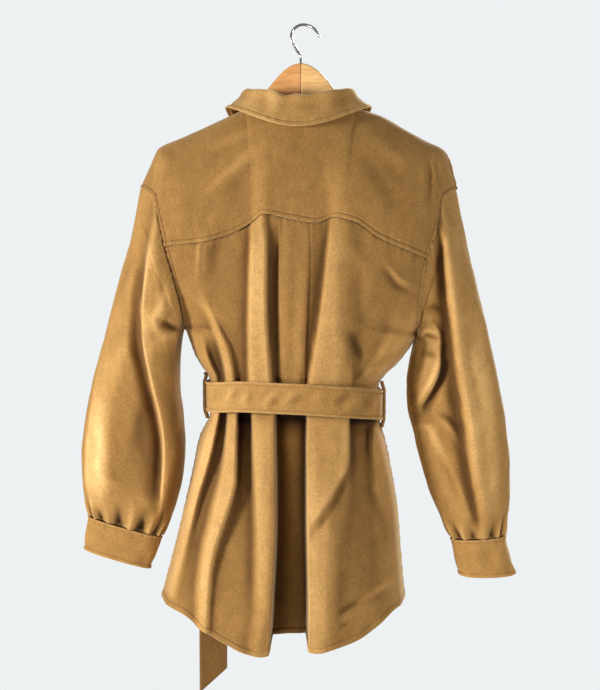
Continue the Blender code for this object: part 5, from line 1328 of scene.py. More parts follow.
def makeSleeve(side, suede):
    points, turn = sleeveGrid(side)
    points = refineEdge(points, 0, False, sleeves["topMarks"])
    fromTop, fromCuff = edgeDistances(points)[:2]
    # The seam's allowance goes in under the panels.
    inward = sleeves["tuckedIn"] * (1 if side == "left" else -1)
    tucked = points[:1] * (1, sleeves["tuckedDepth"], 1) + (inward, 0, 0)
    points = np.concatenate([tucked, points])
    fromTop, fromCuff = (np.concatenate([reach[:1], reach]) for reach in (fromTop, fromCuff))
    degrees = np.degrees(turn)[None, :]
    gathers = np.zeros(points.shape[:2])
    for at, rise, width, tall in sleeves["gathers"][side]:
        away = np.abs((degrees - at + 180) % 360 - 180)
        low = 1 - softStep((fromCuff - tall * 0.6) / (tall * 0.6))
        gathers += sleeves["gatherRise"] * rise * bump(away, 0.8 * width) * low
    halfTurn = np.minimum(degrees, 360 - degrees) * 1.3  # runs the same way down the back and the front
    soft = 0.4 * ripple(halfTurn, fromTop * 0.6, 58, 51 + len(side)) + 0.2 * ripple(halfTurn, fromTop, 26, 53)
    height = gathers * np.clip(fromCuff / 2 + 0.4, 0, 1)
    height += soft * np.clip(fromTop / 20, 0, 1) * np.clip(fromCuff / 10, 0, 1)
    height = height - 0.5 * bump(fromTop, 3) + puckers(halfTurn, fromTop, 54, 12, 0.6, 10)
    x, z = points[..., 0], points[..., 2]
    # Painted light on the back of each sleeve from its bands and creases, painted shade in the gathers' pits
    # above the cuff and painted highlight on their crests.
    tone = bandHeights(sleeves[side + "Bands"], x, z)[1]
    tone += 0.05 * creaseHeights(sleeves[side + "Creases"], x, z)
    pits = np.clip(-gathers / 3, 0, 1) * bump(fromCuff - 4, 10)
    tone = sleeves["tone"] + tone * np.clip(np.sin(turn) * 2.2, 0, 1)[None, :] + 0.06 * gathers - 0.28 * pits
    wear = 0.1 * np.clip(gathers, 0, 5) / 5
    dressPanel("sleeve_" + side, points, height, wear, suede, closed=True, tone=tone)


cuffs = {
    "around": 150,
    "rows": 26,
    "corner": 2.3,
    "topStitch": 5.1,
    "endStitch": 5.8,
    "columns": ("outX", "outZ", "inX", "inZ", "back", "front"),
    "left": (
        (-337, -758.5, -222, -791, 16.5, 16.5), (-342, -785, -231, -817, 16, 16),
        (-345, -811, -241, -842, 15, 15)),
    "right": (
        (317.5, -787.5, 232.5, -793, 29, 29), (324, -816, 238, -821, 30, 30),
        (335, -848, 246, -851, 31, 31)),
}


def makeCuff(side, suede):
    rings = [ringAt(cuffs, side, along) for along in np.linspace(0, 1, cuffs["rows"] + 1)]
    points = refineEdge(refineEdge(np.array([ring for ring, _ in rings]), 0), 0, True)
    fromTop, fromEnd = edgeDistances(points)[:2]
    degrees = np.degrees(rings[0][1])[None, :]
    halfTurn = np.minimum(degrees, 360 - degrees)
    lumps = 0.7 * ripple(halfTurn, fromTop, 38, 61 + len(side))
    lumps -= 1.2 * bump(halfTurn - 95, 22) * bump(fromTop - 26, 14)
    height = turnedEdge(fromTop, cuffs["topStitch"], 1.0) + turnedEdge(fromEnd, cuffs["endStitch"], 1.2)
    height += lumps * np.clip(fromTop / 8, 0, 1) * np.clip(fromEnd / 8, 0, 1)
    height += puckers(halfTurn, fromTop, 63, 9)
    wear = np.maximum(edgeWear(fromTop, most=0.2), edgeWear(fromEnd, most=0.4))
    shown = dressPanel("cuff_" + side, points, height, wear, suede, cloth["doubleWall"], closed=True)
    sewAlong(shown, 0, False, cuffs["topStitch"], closed=True)
    sewAlong(shown, 0, True, cuffs["endStitch"], closed=True)


belt = {
    "width": 46,
    "left": -150.5,
    "right": 123.5,
    "back": 94,
    "front": 101,
    "around": 420,
    "down": 17,
    "stitch": 5.1,
    "line": {
        "columns": ("x", "z"),
        "rows": ((-151, -568), (-90, -562), (-20, -564), (50, -569), (110, -577), (124, -582)),
    },
    "creases": (
        (((-118, -572), (-106, -549)), 1.5, 4, 6), (((-107, -566), (-97, -550)), -1.5, 3, 5),
        (((-96, -576), (-82, -553)), 1.6, 4, 7), (((-84, -570), (-74, -556)), -1.1, 3, 5),
        (((-64, -576), (-40, -552)), 1.7, 4, 8), (((-52, -576), (-34, -560)), -1.4, 4, 6),
        (((-34, -574), (-10, -549)), 1.4, 5, 8), (((-18, -572), (0, -556)), -1.1, 4, 6),
        (((8, -570), (30, -550)), 1.2, 5, 8), (((46, -576), (72, -552)), -1.9, 6, 9),
        (((62, -584), (86, -560)), 1.1, 6, 8), (((88, -584), (106, -556)), -1.3, 6, 8),
        (((-138, -574), (-130, -548)), -1.3, 3, 5), (((100, -594), (112, -566)), 0.9, 5, 6)),
    "loopWidth": 9,
    "loopWall": 5.2,
    "loopRows": 60,
    "loopReach": 36,          # up and down from the belt's middle
    # painted shade laid over the loops
    "loopPaintedShade": -0.2,
    "laidGap": 0.5,
    "loop": {                 # up from the belt's middle; how far it stands off the belt at each side
        "columns": ("up", "left", "right"),
        "rows": ((36, 0, 0), (28, 4, 4), (22, 6, 5.4), (-22, 6, 5.4), (-28, 4, 4), (-36, 0, 0)),
    },
    # Each hanging end: the side that its slant falls to, then its sections.
    "tailColumns": ("z", "x", "off", "half"),
    "belt_tail_long": (-1, (
        (-614, -106, 21, 17), (-680, -116, 15, 21), (-780, -133, 12, 23), (-880, -146, 12, 23.5),
        (-980, -151, 12, 23.5), (-1030, -151, 11, 23.5), (-1062, -151, 10, 23.5))),
    "belt_tail_short": (1, (
        (-614, -86, 27, 17), (-680, -80, 22, 21), (-780, -71, 18, 23), (-850, -67, 18, 23.5),
        (-885, -66, 18, 23.5))),
    "tailRows": 120,
    "tailSlant": 44,
    # painted shade laid over the hanging ends
    "tailPaintedShade": -0.52,
    "tailWave": 1.5,
    "knotSize": (60, 20, 54),
    "knotTurn": (2, -14, 24),
    "knotPlace": (-97, -582),
    "knotPinch": 0.82,
}


def beltRing():
    left, right = (np.array([belt[side], 0.0, 0.0]) for side in ("left", "right"))
    points = ovalRing(left, right, belt["back"], belt["front"], belt["around"], torso["corner"])[0]
    points[:, 2] = readTable(belt["line"], "z", points[:, 0])
    return points


def makeBelt(suede):
    around = beltRing()
    levels = np.linspace(0.5, -0.5, belt["down"] + 8) * belt["width"]
    points = np.repeat(around[None], len(levels), axis=0)
    points[..., 2] += levels[:, None]
    points = refineEdge(refineEdge(points, 0), 0, True)
    levels = points[:, 0, 2] - around[0, 2]
    x, z = points[..., 0], points[..., 2]
    onBack = points[..., 1] < 0
    fromTop, fromFoot = edgeDistances(points)[:2]
    lengthwise = np.concatenate([[0], np.cumsum(np.linalg.norm(np.diff(around, axis=0), axis=1))])[None, :]
    turn = lengthwise / lengthwise.max() * 2 * math.pi
    creases = creaseHeights(belt["creases"], x, z)
    height = np.where(onBack, 1.0, 0.5) * creases
    height = height * np.clip(fromTop / 5, 0.25, 1) * np.clip(fromFoot / 5, 0.25, 1)
    height = height + 0.5 * np.sin(turn * 5 + 0.4) * (levels[:, None] / 23) + 0.5 * np.sin(turn * 9 + 1.3)
    height = height + turnedEdge(fromTop, belt["stitch"]) + turnedEdge(fromFoot, belt["stitch"])
    height += 0.35 * np.sin(turn * 31) * bump(fromTop, 5)
    height += 0.3 * np.sin(turn * 37) * bump(fromFoot, 5)
    height -= 1.2 * bump(x - 112, 5) * onBack
    # Painted light on the back of the belt: lighter on crease crests, and painted shade growing towards its
    # right end.
    tone = 0.10 * creases * onBack - 0.0012 * x * onBack
    wear = edgeWear(fromTop, fromFoot, most=0.35)
    shown = dressPanel("belt", points, height, wear, suede, cloth["doubleWall"], closed=True, tone=tone)
    sewBoth(shown, 0, belt["stitch"], closed=True)


# A flat strip made of sections, each a rounded outline across it.
def stripObject(node, middles, across, outwards, halfWidth, wall, finish, height, tone):
    steps = 17
    share = np.linspace(-1, 1, steps)
    lip = wall / 2 * np.sqrt(np.clip(1 - np.clip((np.abs(share) - 0.8) / 0.2, 0, 1) ** 2, 0.04, 1))
    groove = 0.35 * bump(np.abs(share) - 0.74, 0.07)
    sections = []
    for middle, side, out, half, lift in zip(middles, across, outwards, halfWidth, height):
        wide = np.outer(share * half, side)
        front = middle + wide + np.outer(lip - groove + lift, out)
        behind = middle + wide[::-1] - np.outer(lip[::-1] - lift, out)
        sections.append(np.concatenate([front, behind]))
    sections = np.array(sections)
    rows, count = sections.shape[:2]
    rub = np.clip((np.abs(np.concatenate([share, share])) - 0.86) / 0.14, 0, 1)
    # The grooves beside the edges are given a low relief, which paints shade into them.
    sunk = np.concatenate([groove, 0 * groove])
    values = {"wear": 0.25 * np.tile(rub, (rows, 1)), "relief": -0.8 * np.tile(sunk, (rows, 1)),
              "tone": np.full((rows, count), tone)}
    made = ringsObject(node + "_suede", sections, finish, values)
    dressObject(made, "suede", node)
    return made, sections[:, :steps]


def makeLoop(side, suede, backPoints):
    sign = -1 if side == "left" else 1
    start = belt[side]
    middle = float(readTable(belt["line"], "z", start))
    seam = backPoints[::-1, 0 if side == "left" else -1]
    count = belt["loopRows"]
    middles = []
    for up in np.linspace(belt["loopReach"], -belt["loopReach"], count):
        z = middle + up
        body = float(np.interp(z, seam[:, 2], seam[:, 0]))
        lie = body + sign * (belt["laidGap"] + belt["loopWall"] / 2)
        clear = start + sign * (float(readTable(belt["loop"], side, up)) - belt["loopWall"] / 2)
        x = max(lie * sign, clear * sign) * sign if abs(up) < belt["loopReach"] - 1 else lie
        middles.append((x + sign * 0.25 * math.sin(up * 0.4), 0.0, z))
    middles = np.array(middles)
    for _ in range(8):  # eases it over the belt's edges
        middles[1:-1, 0] = middles[1:-1, 0] * 0.5 + (middles[2:, 0] + middles[:-2, 0]) * 0.25
    along = unit(np.gradient(middles, axis=0))
    outwards = np.stack([-sign * along[:, 2], np.zeros(count), sign * along[:, 0]], axis=-1)
    across = np.tile([0.0, 1.0, 0.0], (count, 1))
    halfWidth = np.full(count, belt["loopWidth"] / 2)
    face = stripObject("belt_loop_" + side, middles, across, outwards, halfWidth, belt["loopWall"], suede,
                       np.zeros(count), belt["loopPaintedShade"])[1]
    threads.append((face[3:-3, 8], outwards[3:-3]))


def makeTail(name, suede):
    lean, rows = belt[name]
    table = {"columns": belt["tailColumns"], "rows": rows}
    hemZ = torso["frontHem"]["rows"][0][1]
    zs = np.linspace(rows[0][0], rows[-1][0], belt["tailRows"])
    x, off, half = (readTable(table, key, zs) for key in ("x", "off", "half"))
    none, full = np.zeros(len(zs)), np.ones(len(zs))
    rest = smoothDepth("front", x, np.maximum(zs, hemZ))[0]
    wave = 1.4 * np.sin(zs / 38) + 0.8 * np.sin(zs / 17 + 1)
    middles = np.stack([x, rest + off + 1.3 + 0.6 * wave, zs], axis=-1)
    tilt = belt["tailWave"] * np.sin(zs / 45) / half
    across = unit(np.stack([full, -tilt, none], axis=-1))
    slope = np.gradient(middles[:, 1]) / np.gradient(zs)
    outwards = unit(np.stack([tilt, full, -slope], axis=-1))
    made, face = stripObject(name, middles, across, outwards, half, cloth["doubleWall"], suede,
                             0.3 * ripple(zs, none, 20, 71), belt["tailPaintedShade"])
    # The end is cut on a slant: its last rows slide down on one side.
    end = zs[-1] * mm
    for vert in made.data.vertices:
        low = min(1.0, max(0.0, (vert.co.z - end) / (60 * mm)))
        fromMiddle = (vert.co.x - float(readTable(table, "x", vert.co.z / mm)) * mm) / (half[-1] * mm)
        vert.co.z -= fromMiddle * lean * belt["tailSlant"] / 2 * mm * (1 - low) ** 2
    for edge in (2, -3):
        threads.append((face[:-16, edge], outwards[:-16]))


# The knot: a pillow of cloth with its wraps drawn tight towards the middle.
def makeKnot(suede):
    mesh = bpy.data.meshes.new("belt_knot_suede")
    ball = bmesh.new()
    bmesh.ops.create_cube(ball, size=2)
    bmesh.ops.subdivide_edges(ball, edges=ball.edges, cuts=34, use_grid_fill=True)
    width, depth, tall = (size / 2 for size in belt["knotSize"])
    for vert in ball.verts:
        x, y, z = vert.co
        roundness = (abs(x) ** 5 + abs(y) ** 5 + abs(z) ** 5) ** (1 / 5)
        x, y, z = x / roundness, y / roundness, z / roundness
        pinch = belt["knotPinch"] + (1 - belt["knotPinch"]) * (z + 1) / 2
        wraps = 1 - 0.13 * math.exp(-((x * 0.8 + z * 0.55 + 0.1) / 0.10) ** 2)
        wraps -= 0.10 * math.exp(-((x * 0.7 - z * 0.75 - 0.35) / 0.09) ** 2)
        folds = 0.035 * math.sin(9 * z + 3 * x) * (1 - abs(z) ** 3)
        vert.co = (x * width * pinch * mm * (wraps + 0.02), y * depth * mm * (wraps + folds),
                   z * tall * mm * wraps)
    ball.to_mesh(mesh)
    ball.free()
    wear = mesh.attributes.new("wear", "FLOAT", "POINT")
    wear.data.foreach_set("value", [0.3 if abs(v.co.x) > width * 0.8 * mm else 0.05 for v in mesh.vertices])
    mesh.materials.append(suede)
    mesh.shade_smooth()
    knot = newObject("belt_knot_suede", mesh)
    around = beltRing()
    front = around[around[:, 1] > 0][::-1]
    knotX, knotZ = belt["knotPlace"]
    beltY = float(np.interp(knotX, front[:, 0], front[:, 1]))
    turn = math.radians(belt["knotTurn"][2])
    off = depth + 4 * belt["laidGap"]
    knot.location = ((knotX - math.sin(turn) * off) * mm, (beltY + math.cos(turn) * off) * mm, knotZ * mm)
    knot.rotation_euler = [math.radians(angle) for angle in belt["knotTurn"]]
    dressObject(knot, "suede", "belt_knot")
    print("belt: loops, ends and knot")


buttons = {
    "levels": (-246, -322, -398, -474, -652, -732),
    "radius": 9,
    "cuffRadius": 6.5,
    "thickness": 3,
    "around": 56,
    "holeAt": 0.27,           # share of the radius
    "holeRadius": 1.1,
    # From its middle round its rim to the back: share of the radius, share of the thickness.
    "profile": (
        (0, 0.30), (0.12, 0.30), (0.2, 0.30), (0.27, 0.30), (0.34, 0.31), (0.42, 0.32), (0.52, 0.33),
        (0.6, 0.36), (0.66, 0.44), (0.72, 0.50), (0.80, 0.52), (0.88, 0.49), (0.95, 0.36), (0.99, 0.14),
        (1, -0.1), (0.97, -0.32), (0.88, -0.46), (0.7, -0.5), (0.4, -0.5), (0, -0.5)),
}


# A turned button with a rim, a dished middle and four holes.
def makeButton(node, place, normal, radius, horn):
    thick = buttons["thickness"]
    holeAt = buttons["holeAt"] * radius
    holes = [(holeAt * math.cos(turn), holeAt * math.sin(turn))
             for turn in (math.pi / 4 + k * math.pi / 2 for k in range(4))]
    verts = []
    for out, up in buttons["profile"]:
        for turn in np.linspace(0, 2 * math.pi, buttons["around"], endpoint=False):
            x, y = out * radius * math.cos(turn), out * radius * math.sin(turn)
            inHole = any(math.hypot(x - holeX, y - holeY) < buttons["holeRadius"] * radius / 9
                         for holeX, holeY in holes)
            verts.append((x, y, up * thick - (0.6 * thick if up > 0 and inHole else 0)))
    faces = gridFaces(len(buttons["profile"]), buttons["around"], True)
    made = meshObject(node + "_horn", verts, faces, horn, {})
    turnOutwards(made.data, weld=True)
    turn = Vector((0, 0, 1)).rotation_difference(Vector(normal))
    made.matrix_world = Matrix.Translation(Vector(place) * mm) @ turn.to_matrix().to_4x4()
    dressObject(made, "button", node)


def makeButtons(strip, horn):
    middle = strip.shape[1] // 2
    line = np.concatenate([strip, gridNormals(strip)], axis=2)[::-1, middle]
    off = belt["laidGap"] + buttons["thickness"] / 2
    for number, level in enumerate(buttons["levels"], 1):
        found = np.array([np.interp(level, line[:, 2], line[:, k]) for k in range(6)])
        place = found[:3] + found[3:] * off
        makeButton("button_" + str(number), place, found[3:], buttons["radius"], horn)
    for side in ("left", "right"):
        outX, outZ, inX, inZ, _, front = cuffs[side][1]
        place = (outX * 0.6 + inX * 0.4, front + off, outZ * 0.6 + inZ * 0.4)
        makeButton("cuff_button_" + side, place, (0, 1, 0), buttons["cuffRadius"], horn)
    print("buttons:", len(buttons["levels"]) + 2)


hanger = {
    "dome": {
        "columns": ("out", "z"),
        "rows": ((0, -56), (12, -59), (24, -66), (40, -82), (54, -99), (70, -116), (84, -128)),
    },
    "underside": {
        "columns": ("out", "z"),
        "rows": ((0, -112), (40, -120), (90, -150), (150, -178), (200, -199), (216, -206)),
    },
    "corner": 4.5,            # of its section; 2 is an ellipse, more is squarer
    "tip": 221,
    "tipFrom": 208,           # its arms are rounded off from here
    "armEnd": 216,            # where their height is read last
    "thickness": 13,
    "belowRidge": 6.3,
    "domeEnd": 78,
    "domeEase": 10,
    "wireRadius": 2.1,
    "hookLeft": 18.5,         # the hook's two bends
    "hookRight": 26,
    "hookEnd": 14,            # degrees above the horizontal
    "hookBack": 214,
    "stem": ((-9.5, -37), (-5.5, -42.5)),
    "stemInWood": 20,
    "jointGroove": 0.8,
}


def woodTop(out, sign):
    arm = ridgeZ(torso["middle"] + sign * out) - hanger["belowRidge"]
    blend = softStep((out - hanger["domeEnd"]) / hanger["domeEase"])
    return readTable(hanger["dome"], "z", out) * (1 - blend) + arm * blend


def makeWood(wood):
    atTip = np.linspace(214, hanger["tip"], 9)
    outs = np.concatenate([np.linspace(0, 3, 6), np.linspace(4, 212, 105), atTip])
    outs = np.concatenate([-outs[:0:-1], outs])
    turn = np.linspace(0, 2 * math.pi, 36, endpoint=False)
    power = 2 / hanger["corner"]
    sections = []
    for out in outs:
        reach = min(abs(out), hanger["armEnd"])
        top = float(woodTop(reach, 1 if out >= 0 else -1))
        foot = float(readTable(hanger["underside"], "z", reach))
        nearTip = max(abs(out) - hanger["tipFrom"], 0) / (hanger["tip"] - hanger["tipFrom"])
        left = max(0.0, 1 - nearTip ** 2) ** 0.5
        joint = math.exp(-((out / 0.9) ** 2))  # the groove where its two halves meet
        half = (top - foot) / 2 * max(left, 0.05) - 0.6 * joint
        thick = hanger["thickness"] / 2 * (0.35 + 0.65 * left) - hanger["jointGroove"] * joint
        y = -np.sign(np.sin(turn)) * np.abs(np.sin(turn)) ** power * thick
        z = (top + foot) / 2 + np.sign(np.cos(turn)) * np.abs(np.cos(turn)) ** power * half
        sections.append(np.stack([np.full(len(turn), torso["middle"] + out), y, z], axis=-1))
    made = ringsObject("hanger_wood_turned", np.array(sections), wood, {})
    dressObject(made, "wood", "hanger_wood")
    print("hanger: wood,", len(outs), "sections")


def makeHook(chrome):
    path = []
    radius = hanger["wireRadius"]
    first = (hanger["hookRight"], np.linspace(hanger["hookEnd"], 90, 30)[:-1])
    second = (hanger["hookLeft"], np.linspace(90, hanger["hookBack"], 44))
    for bend, angles in (first, second):
        for turn in np.radians(angles):
            path.append((bend * math.cos(turn), radius - bend + bend * math.sin(turn)))
    stemFoot = hanger["dome"]["rows"][0][1] - hanger["stemInWood"]
    corners = np.array([path[-1], *hanger["stem"], (torso["middle"], -48), (torso["middle"], stemFoot)])
    lengths = np.concatenate([[0], np.cumsum(np.linalg.norm(np.diff(corners, axis=0), axis=1))])
    for at in np.linspace(0, lengths[-1], 40)[1:]:
        path.append([float(smoothCurve(lengths, corners[:, k], at)) for k in range(2)])
    wire = bpy.data.curves.new("hanger_hook_wire", "CURVE")
    wire.dimensions = "3D"
    wire.bevel_depth = radius * mm
    wire.bevel_resolution = 6
    wire.use_fill_caps = True
    line = wire.splines.new("POLY")
    line.points.add(len(path) - 1)
    for number, (point, (x, z)) in enumerate(zip(line.points, path)):
        point.co = (x * mm, 0, z * mm, 1)
        point.radius = min(1.0, 0.55 + number * 0.25)  # the free end is rounded
    wire.materials.append(chrome)
    dressObject(newObject("hanger_hook_wire", wire), "wire", "hanger_hook")
    print("hanger: hook,", len(path), "points")


stitching = {
    "pitch": 3.5,
    "length": 2.5,
    "radius": 0.34,
    "sink": 0.05,
    "sides": 5,
    "rings": ((-1, 0.25, -0.35), (-0.6, 0.95, 0.1), (0.6, 0.95, 0.1), (1, 0.25, -0.35)),  # along, size, lift
}


def makeStitches(thread):
    rows = []
    for points, normals in threads:
        length = np.concatenate([[0], np.cumsum(np.linalg.norm(np.diff(points, axis=0), axis=1))])
        if length[-1] < stitching["pitch"] * 2:
            continue
        at = np.arange(stitching["pitch"], length[-1] - stitching["pitch"] / 2, stitching["pitch"])
        place, ahead, normal = (
            np.stack([np.interp(spots, length, line[:, k]) for k in range(3)], axis=-1)
            for spots, line in ((at, points), (at + 0.8, points), (at, normals)))
        rows.append(np.stack([place, ahead - place, normal]))
    centres, ways, outs = np.concatenate(rows, axis=1)
    ways = unit(ways + 1e-6)
    sides = unit(np.cross(ways, unit(outs)))
    outs = np.cross(sides, ways)
    rings = []
    for along, size, lift in stitching["rings"]:
        middle = centres + ways * (along * stitching["length"] / 2)
        middle = middle + outs * (lift * stitching["radius"] - stitching["sink"])
        for angle in np.linspace(0, 2 * math.pi, stitching["sides"], endpoint=False):
            off = (outs * math.cos(angle) + sides * math.sin(angle)) * stitching["radius"] * size
            rings.append(middle + off)
    verts = np.array(rings).transpose(1, 0, 2)  # stitch, ring and side, place
    one = np.array(gridFaces(len(stitching["rings"]), stitching["sides"], True))
    faces = (one[None] + (np.arange(len(verts)) * len(rings))[:, None, None]).reshape(-1, 4).tolist()
    dressObject(meshObject("topstitch_thread", verts.reshape(-1, 3), faces, thread, {}), "suede")
    print("stitching:", len(verts), "stitches")


# Materials.
def feed(tree, socket, value):  # from another socket, or a fixed value
    if isinstance(value, bpy.types.NodeSocket):
        tree.links.new(value, socket)
    else:
        socket.default_value = (*value, 1) if socket.type == "RGBA" else value


def addNode(tree, kind, inputs, **choices):
    made = tree.nodes.new("ShaderNode" + kind)
    for key, value in choices.items():
        setattr(made, key, value)
    for key, value in inputs.items():
        feed(tree, made.inputs[key], value)
    return made


def ramp(tree, source, *stops):
    made = addNode(tree, "ValToRGB", {"Fac": source})
    while len(made.color_ramp.elements) < len(stops):
        made.color_ramp.elements.new(0.5)
    for element, (place, colour) in zip(made.color_ramp.elements, stops):
        element.position = place
        element.color = (*colour, 1) if isinstance(colour, tuple) else (colour, colour, colour, 1)
    return made.outputs["Color"]


def noise(tree, vector, scale, detail=3.0, rough=0.55, stretch=None):
    if stretch:
        vector = addNode(tree, "Mapping", {"Vector": vector, "Scale": stretch}).outputs["Vector"]
    values = {"Vector": vector, "Scale": scale, "Detail": detail, "Roughness": rough}
    return addNode(tree, "TexNoise", values).outputs["Fac"]


def mixColour(tree, kind, factor, first, second):
    made = addNode(tree, "Mix", {}, data_type="RGBA", blend_type=kind)
    for number, value in ((0, factor), (6, first), (7, second)):
        feed(tree, made.inputs[number], value)
    return made.outputs[2]


def maths(tree, kind, *values):
    return addNode(tree, "Math", dict(enumerate(values)), operation=kind).outputs[0]


def weighed(tree, fields, weights):
    total = 0.0
    for name, weight in weights.items():
        total = maths(tree, "MULTIPLY_ADD", fields[name], weight, total)
    return total


def newGroup(name, inputs, outputs):
    group = bpy.data.node_groups.new(name, "ShaderNodeTree")
    for label, kind in inputs:
        group.interface.new_socket(label, in_out="INPUT", socket_type="NodeSocket" + kind)
    for label, kind in outputs:
        group.interface.new_socket(label, in_out="OUTPUT", socket_type="NodeSocket" + kind)
    return group, group.nodes.new("NodeGroupInput").outputs, group.nodes.new("NodeGroupOutput").inputs


finishes = {
    "nap": {
        # Noise of each size: its scale, detail, roughness and stretch.
        "strokes": (13.0, 4.0, 0.6, (1.0, 1.0, 0.42)),
        "patches": (62.0, 4.0, 0.62, (1.0, 1.0, 0.7)),
        "grain": (420.0, 3.0, 0.65),
        "fibres": (900.0, 2.0, 0.6, (1.0, 1.0, 0.6)),
        # How much each counts in the colour and in the height of the pile.
        "shade": {"strokes": 0.34, "patches": 0.30, "grain": 0.36},
        "pile": {"fibres": 0.30, "grain": 0.42, "patches": 0.55},
        # Painted shade in hollow places and painted highlight on crests, and the painted light and shade that
        # each panel carries.
        "hollows": ((0.0, (0.55, 0.50, 0.45)), (0.5, (1.0, 1.0, 1.0)), (1.0, (1.22, 1.25, 1.34))),
        "brushed": ((0.0, (0.07, 0.05, 0.04)), (0.25, (0.40, 0.35, 0.30)), (0.5, (1.0, 1.0, 1.0)),
                    (0.8, (1.55, 1.70, 2.15)), (1.0, (1.8, 2.1, 2.9))),
    },
    "suede": {
        "Light nap": (0.470, 0.258, 0.076),
        "Dark nap": (0.300, 0.154, 0.039),
        "Rubbed": (0.600, 0.380, 0.180),
    },
    "sheen": {
        "Sheen Weight": 0.85,
        "Sheen Roughness": 0.38,
        "Sheen Tint": (1.0, 0.80, 0.50),
        "Specular IOR Level": 0.18,
    },
    "suedeBump": (0.55, 0.0011),  # strength, depth in metres
    "thread": ((0.3, (0.25, 0.13, 0.05)), (0.7, (0.42, 0.235, 0.095))),
    "leftWood": ((0.25, (0.52, 0.20, 0.052)), (0.5, (0.76, 0.37, 0.125)), (0.8, (0.84, 0.45, 0.17))),
    "rightWood": ((0.25, (0.66, 0.32, 0.09)), (0.5, (0.88, 0.54, 0.21)), (0.8, (0.93, 0.62, 0.28))),
    "woodSeam": (0.12, 0.05, 0.015),
    "chrome": ((0.3, (0.62, 0.63, 0.65)), (0.7, (0.80, 0.81, 0.83))),
    "horn": ((0.30, (0.030, 0.014, 0.006)), (0.52, (0.095, 0.045, 0.018)), (0.72, (0.24, 0.13, 0.06))),
}


# Brushed nap: broad strokes, small patches and fibres, rubbed paler and pinker where wear is high, then
# multiplied by painted shade and highlight from the relief and from the painted light and shade each panel
# carries.
def napGroup():
    look = finishes["nap"]
    group, inside, result = newGroup(
        "suedeNapAndShading",
        (("Vector", "Vector"), ("Wear", "Float"), ("Relief", "Float"), ("Tone", "Float"),
         ("Light nap", "Color"), ("Dark nap", "Color"), ("Rubbed", "Color")),
        (("Color", "Color"), ("Roughness", "Float"), ("Height", "Float")))
    fields = {name: noise(group, inside["Vector"], *look[name])
              for name in ("strokes", "patches", "grain", "fibres")}
    spread = ramp(group, weighed(group, fields, look["shade"]), (0.34, 0.0), (0.66, 1.0))
    colour = mixColour(group, "MIX", spread, inside["Dark nap"], inside["Light nap"])
    colour = mixColour(group, "MULTIPLY", 0.9, colour,
                       ramp(group, fields["fibres"], (0.30, 0.66), (0.70, 1.26)))
    for name, stops in (("Relief", look["hollows"]), ("Tone", look["brushed"])):
        value = maths(group, "MULTIPLY_ADD", inside[name], 0.5, 0.5)
        colour = mixColour(group, "MULTIPLY", 1.0, colour, ramp(group, value, *stops))
    rub = maths(group, "MULTIPLY_ADD", fields["patches"], 0.9, 0.30)
    rub = maths(group, "MULTIPLY", inside["Wear"], rub)
    colour = mixColour(group, "MIX", maths(group, "MINIMUM", rub, 0.85), colour, inside["Rubbed"])
    height = weighed(group, fields, look["pile"])
    rough = maths(group, "MULTIPLY_ADD", fields["patches"], 0.18, 0.74)
    for name, value in (("Color", colour), ("Roughness", rough), ("Height", height)):
        feed(group, result[name], value)
    return group


def startMaterial(name):
    made = bpy.data.materials.new(name)
    made.use_nodes = True
    tree = made.node_tree
    return made, tree, tree.nodes["Principled BSDF"], addNode(tree, "TexCoord", {}).outputs["Object"]


def finishMaterial(tree, shader, height, strength, depth, values):
    bumps = addNode(tree, "Bump", {"Strength": strength, "Distance": depth, "Height": height})
    for key, value in {**values, "Normal": bumps.outputs["Normal"]}.items():
        feed(tree, shader.inputs[key], value)


def suedeMaterial(group):
    made, tree, shader, vector = startMaterial("tan suede")
    inputs = {name: addNode(tree, "Attribute", {}, attribute_name=name.lower()).outputs["Fac"]
              for name in ("Wear", "Relief", "Tone")}
    nap = tree.nodes.new("ShaderNodeGroup")
    nap.node_tree = group
    for key, value in {"Vector": vector, **inputs, **finishes["suede"]}.items():
        feed(tree, nap.inputs[key], value)
    finishMaterial(tree, shader, nap.outputs["Height"], *finishes["suedeBump"], {
        "Base Color": nap.outputs["Color"], "Roughness": nap.outputs["Roughness"], **finishes["sheen"]})
    return made


def threadMaterial():
    made, tree, shader, vector = startMaterial("waxed thread")
    twist = noise(tree, vector, 1400.0, 2.0)
    colour = ramp(tree, twist, *finishes["thread"])
    finishMaterial(tree, shader, twist, 0.5, 0.0003, {"Base Color": colour, "Roughness": 0.5})
    return made


def woodMaterial():
    made, tree, shader, vector = startMaterial("varnished beech")
    grain = noise(tree, vector, 420.0, 5.0, 0.6, (0.10, 1.0, 1.0))
    pores = noise(tree, vector, 1600.0, 2.0, 0.5, (0.06, 1.0, 1.0))
    across = addNode(tree, "SeparateXYZ", {"Vector": vector}).outputs["X"]
    fromJoint = maths(tree, "ADD", across, -torso["middle"] * mm)
    halves = [ramp(tree, grain, *finishes[name]) for name in ("leftWood", "rightWood")]
    colour = mixColour(tree, "MIX", maths(tree, "GREATER_THAN", fromJoint, 0.0), *halves)
    colour = mixColour(tree, "MULTIPLY", 0.6, colour, ramp(tree, pores, (0.30, 0.74), (0.48, 1.0)))
    seam = maths(tree, "LESS_THAN", maths(tree, "ABSOLUTE", fromJoint), 0.0006)
    colour = mixColour(tree, "MIX", maths(tree, "MULTIPLY", seam, 0.85), colour, finishes["woodSeam"])
    finishMaterial(tree, shader, pores, 0.25, 0.0002, {
        "Base Color": colour, "Roughness": maths(tree, "MULTIPLY_ADD", grain, 0.22, 0.26),
        "Coat Weight": 0.35, "Coat Roughness": 0.18})
    return made


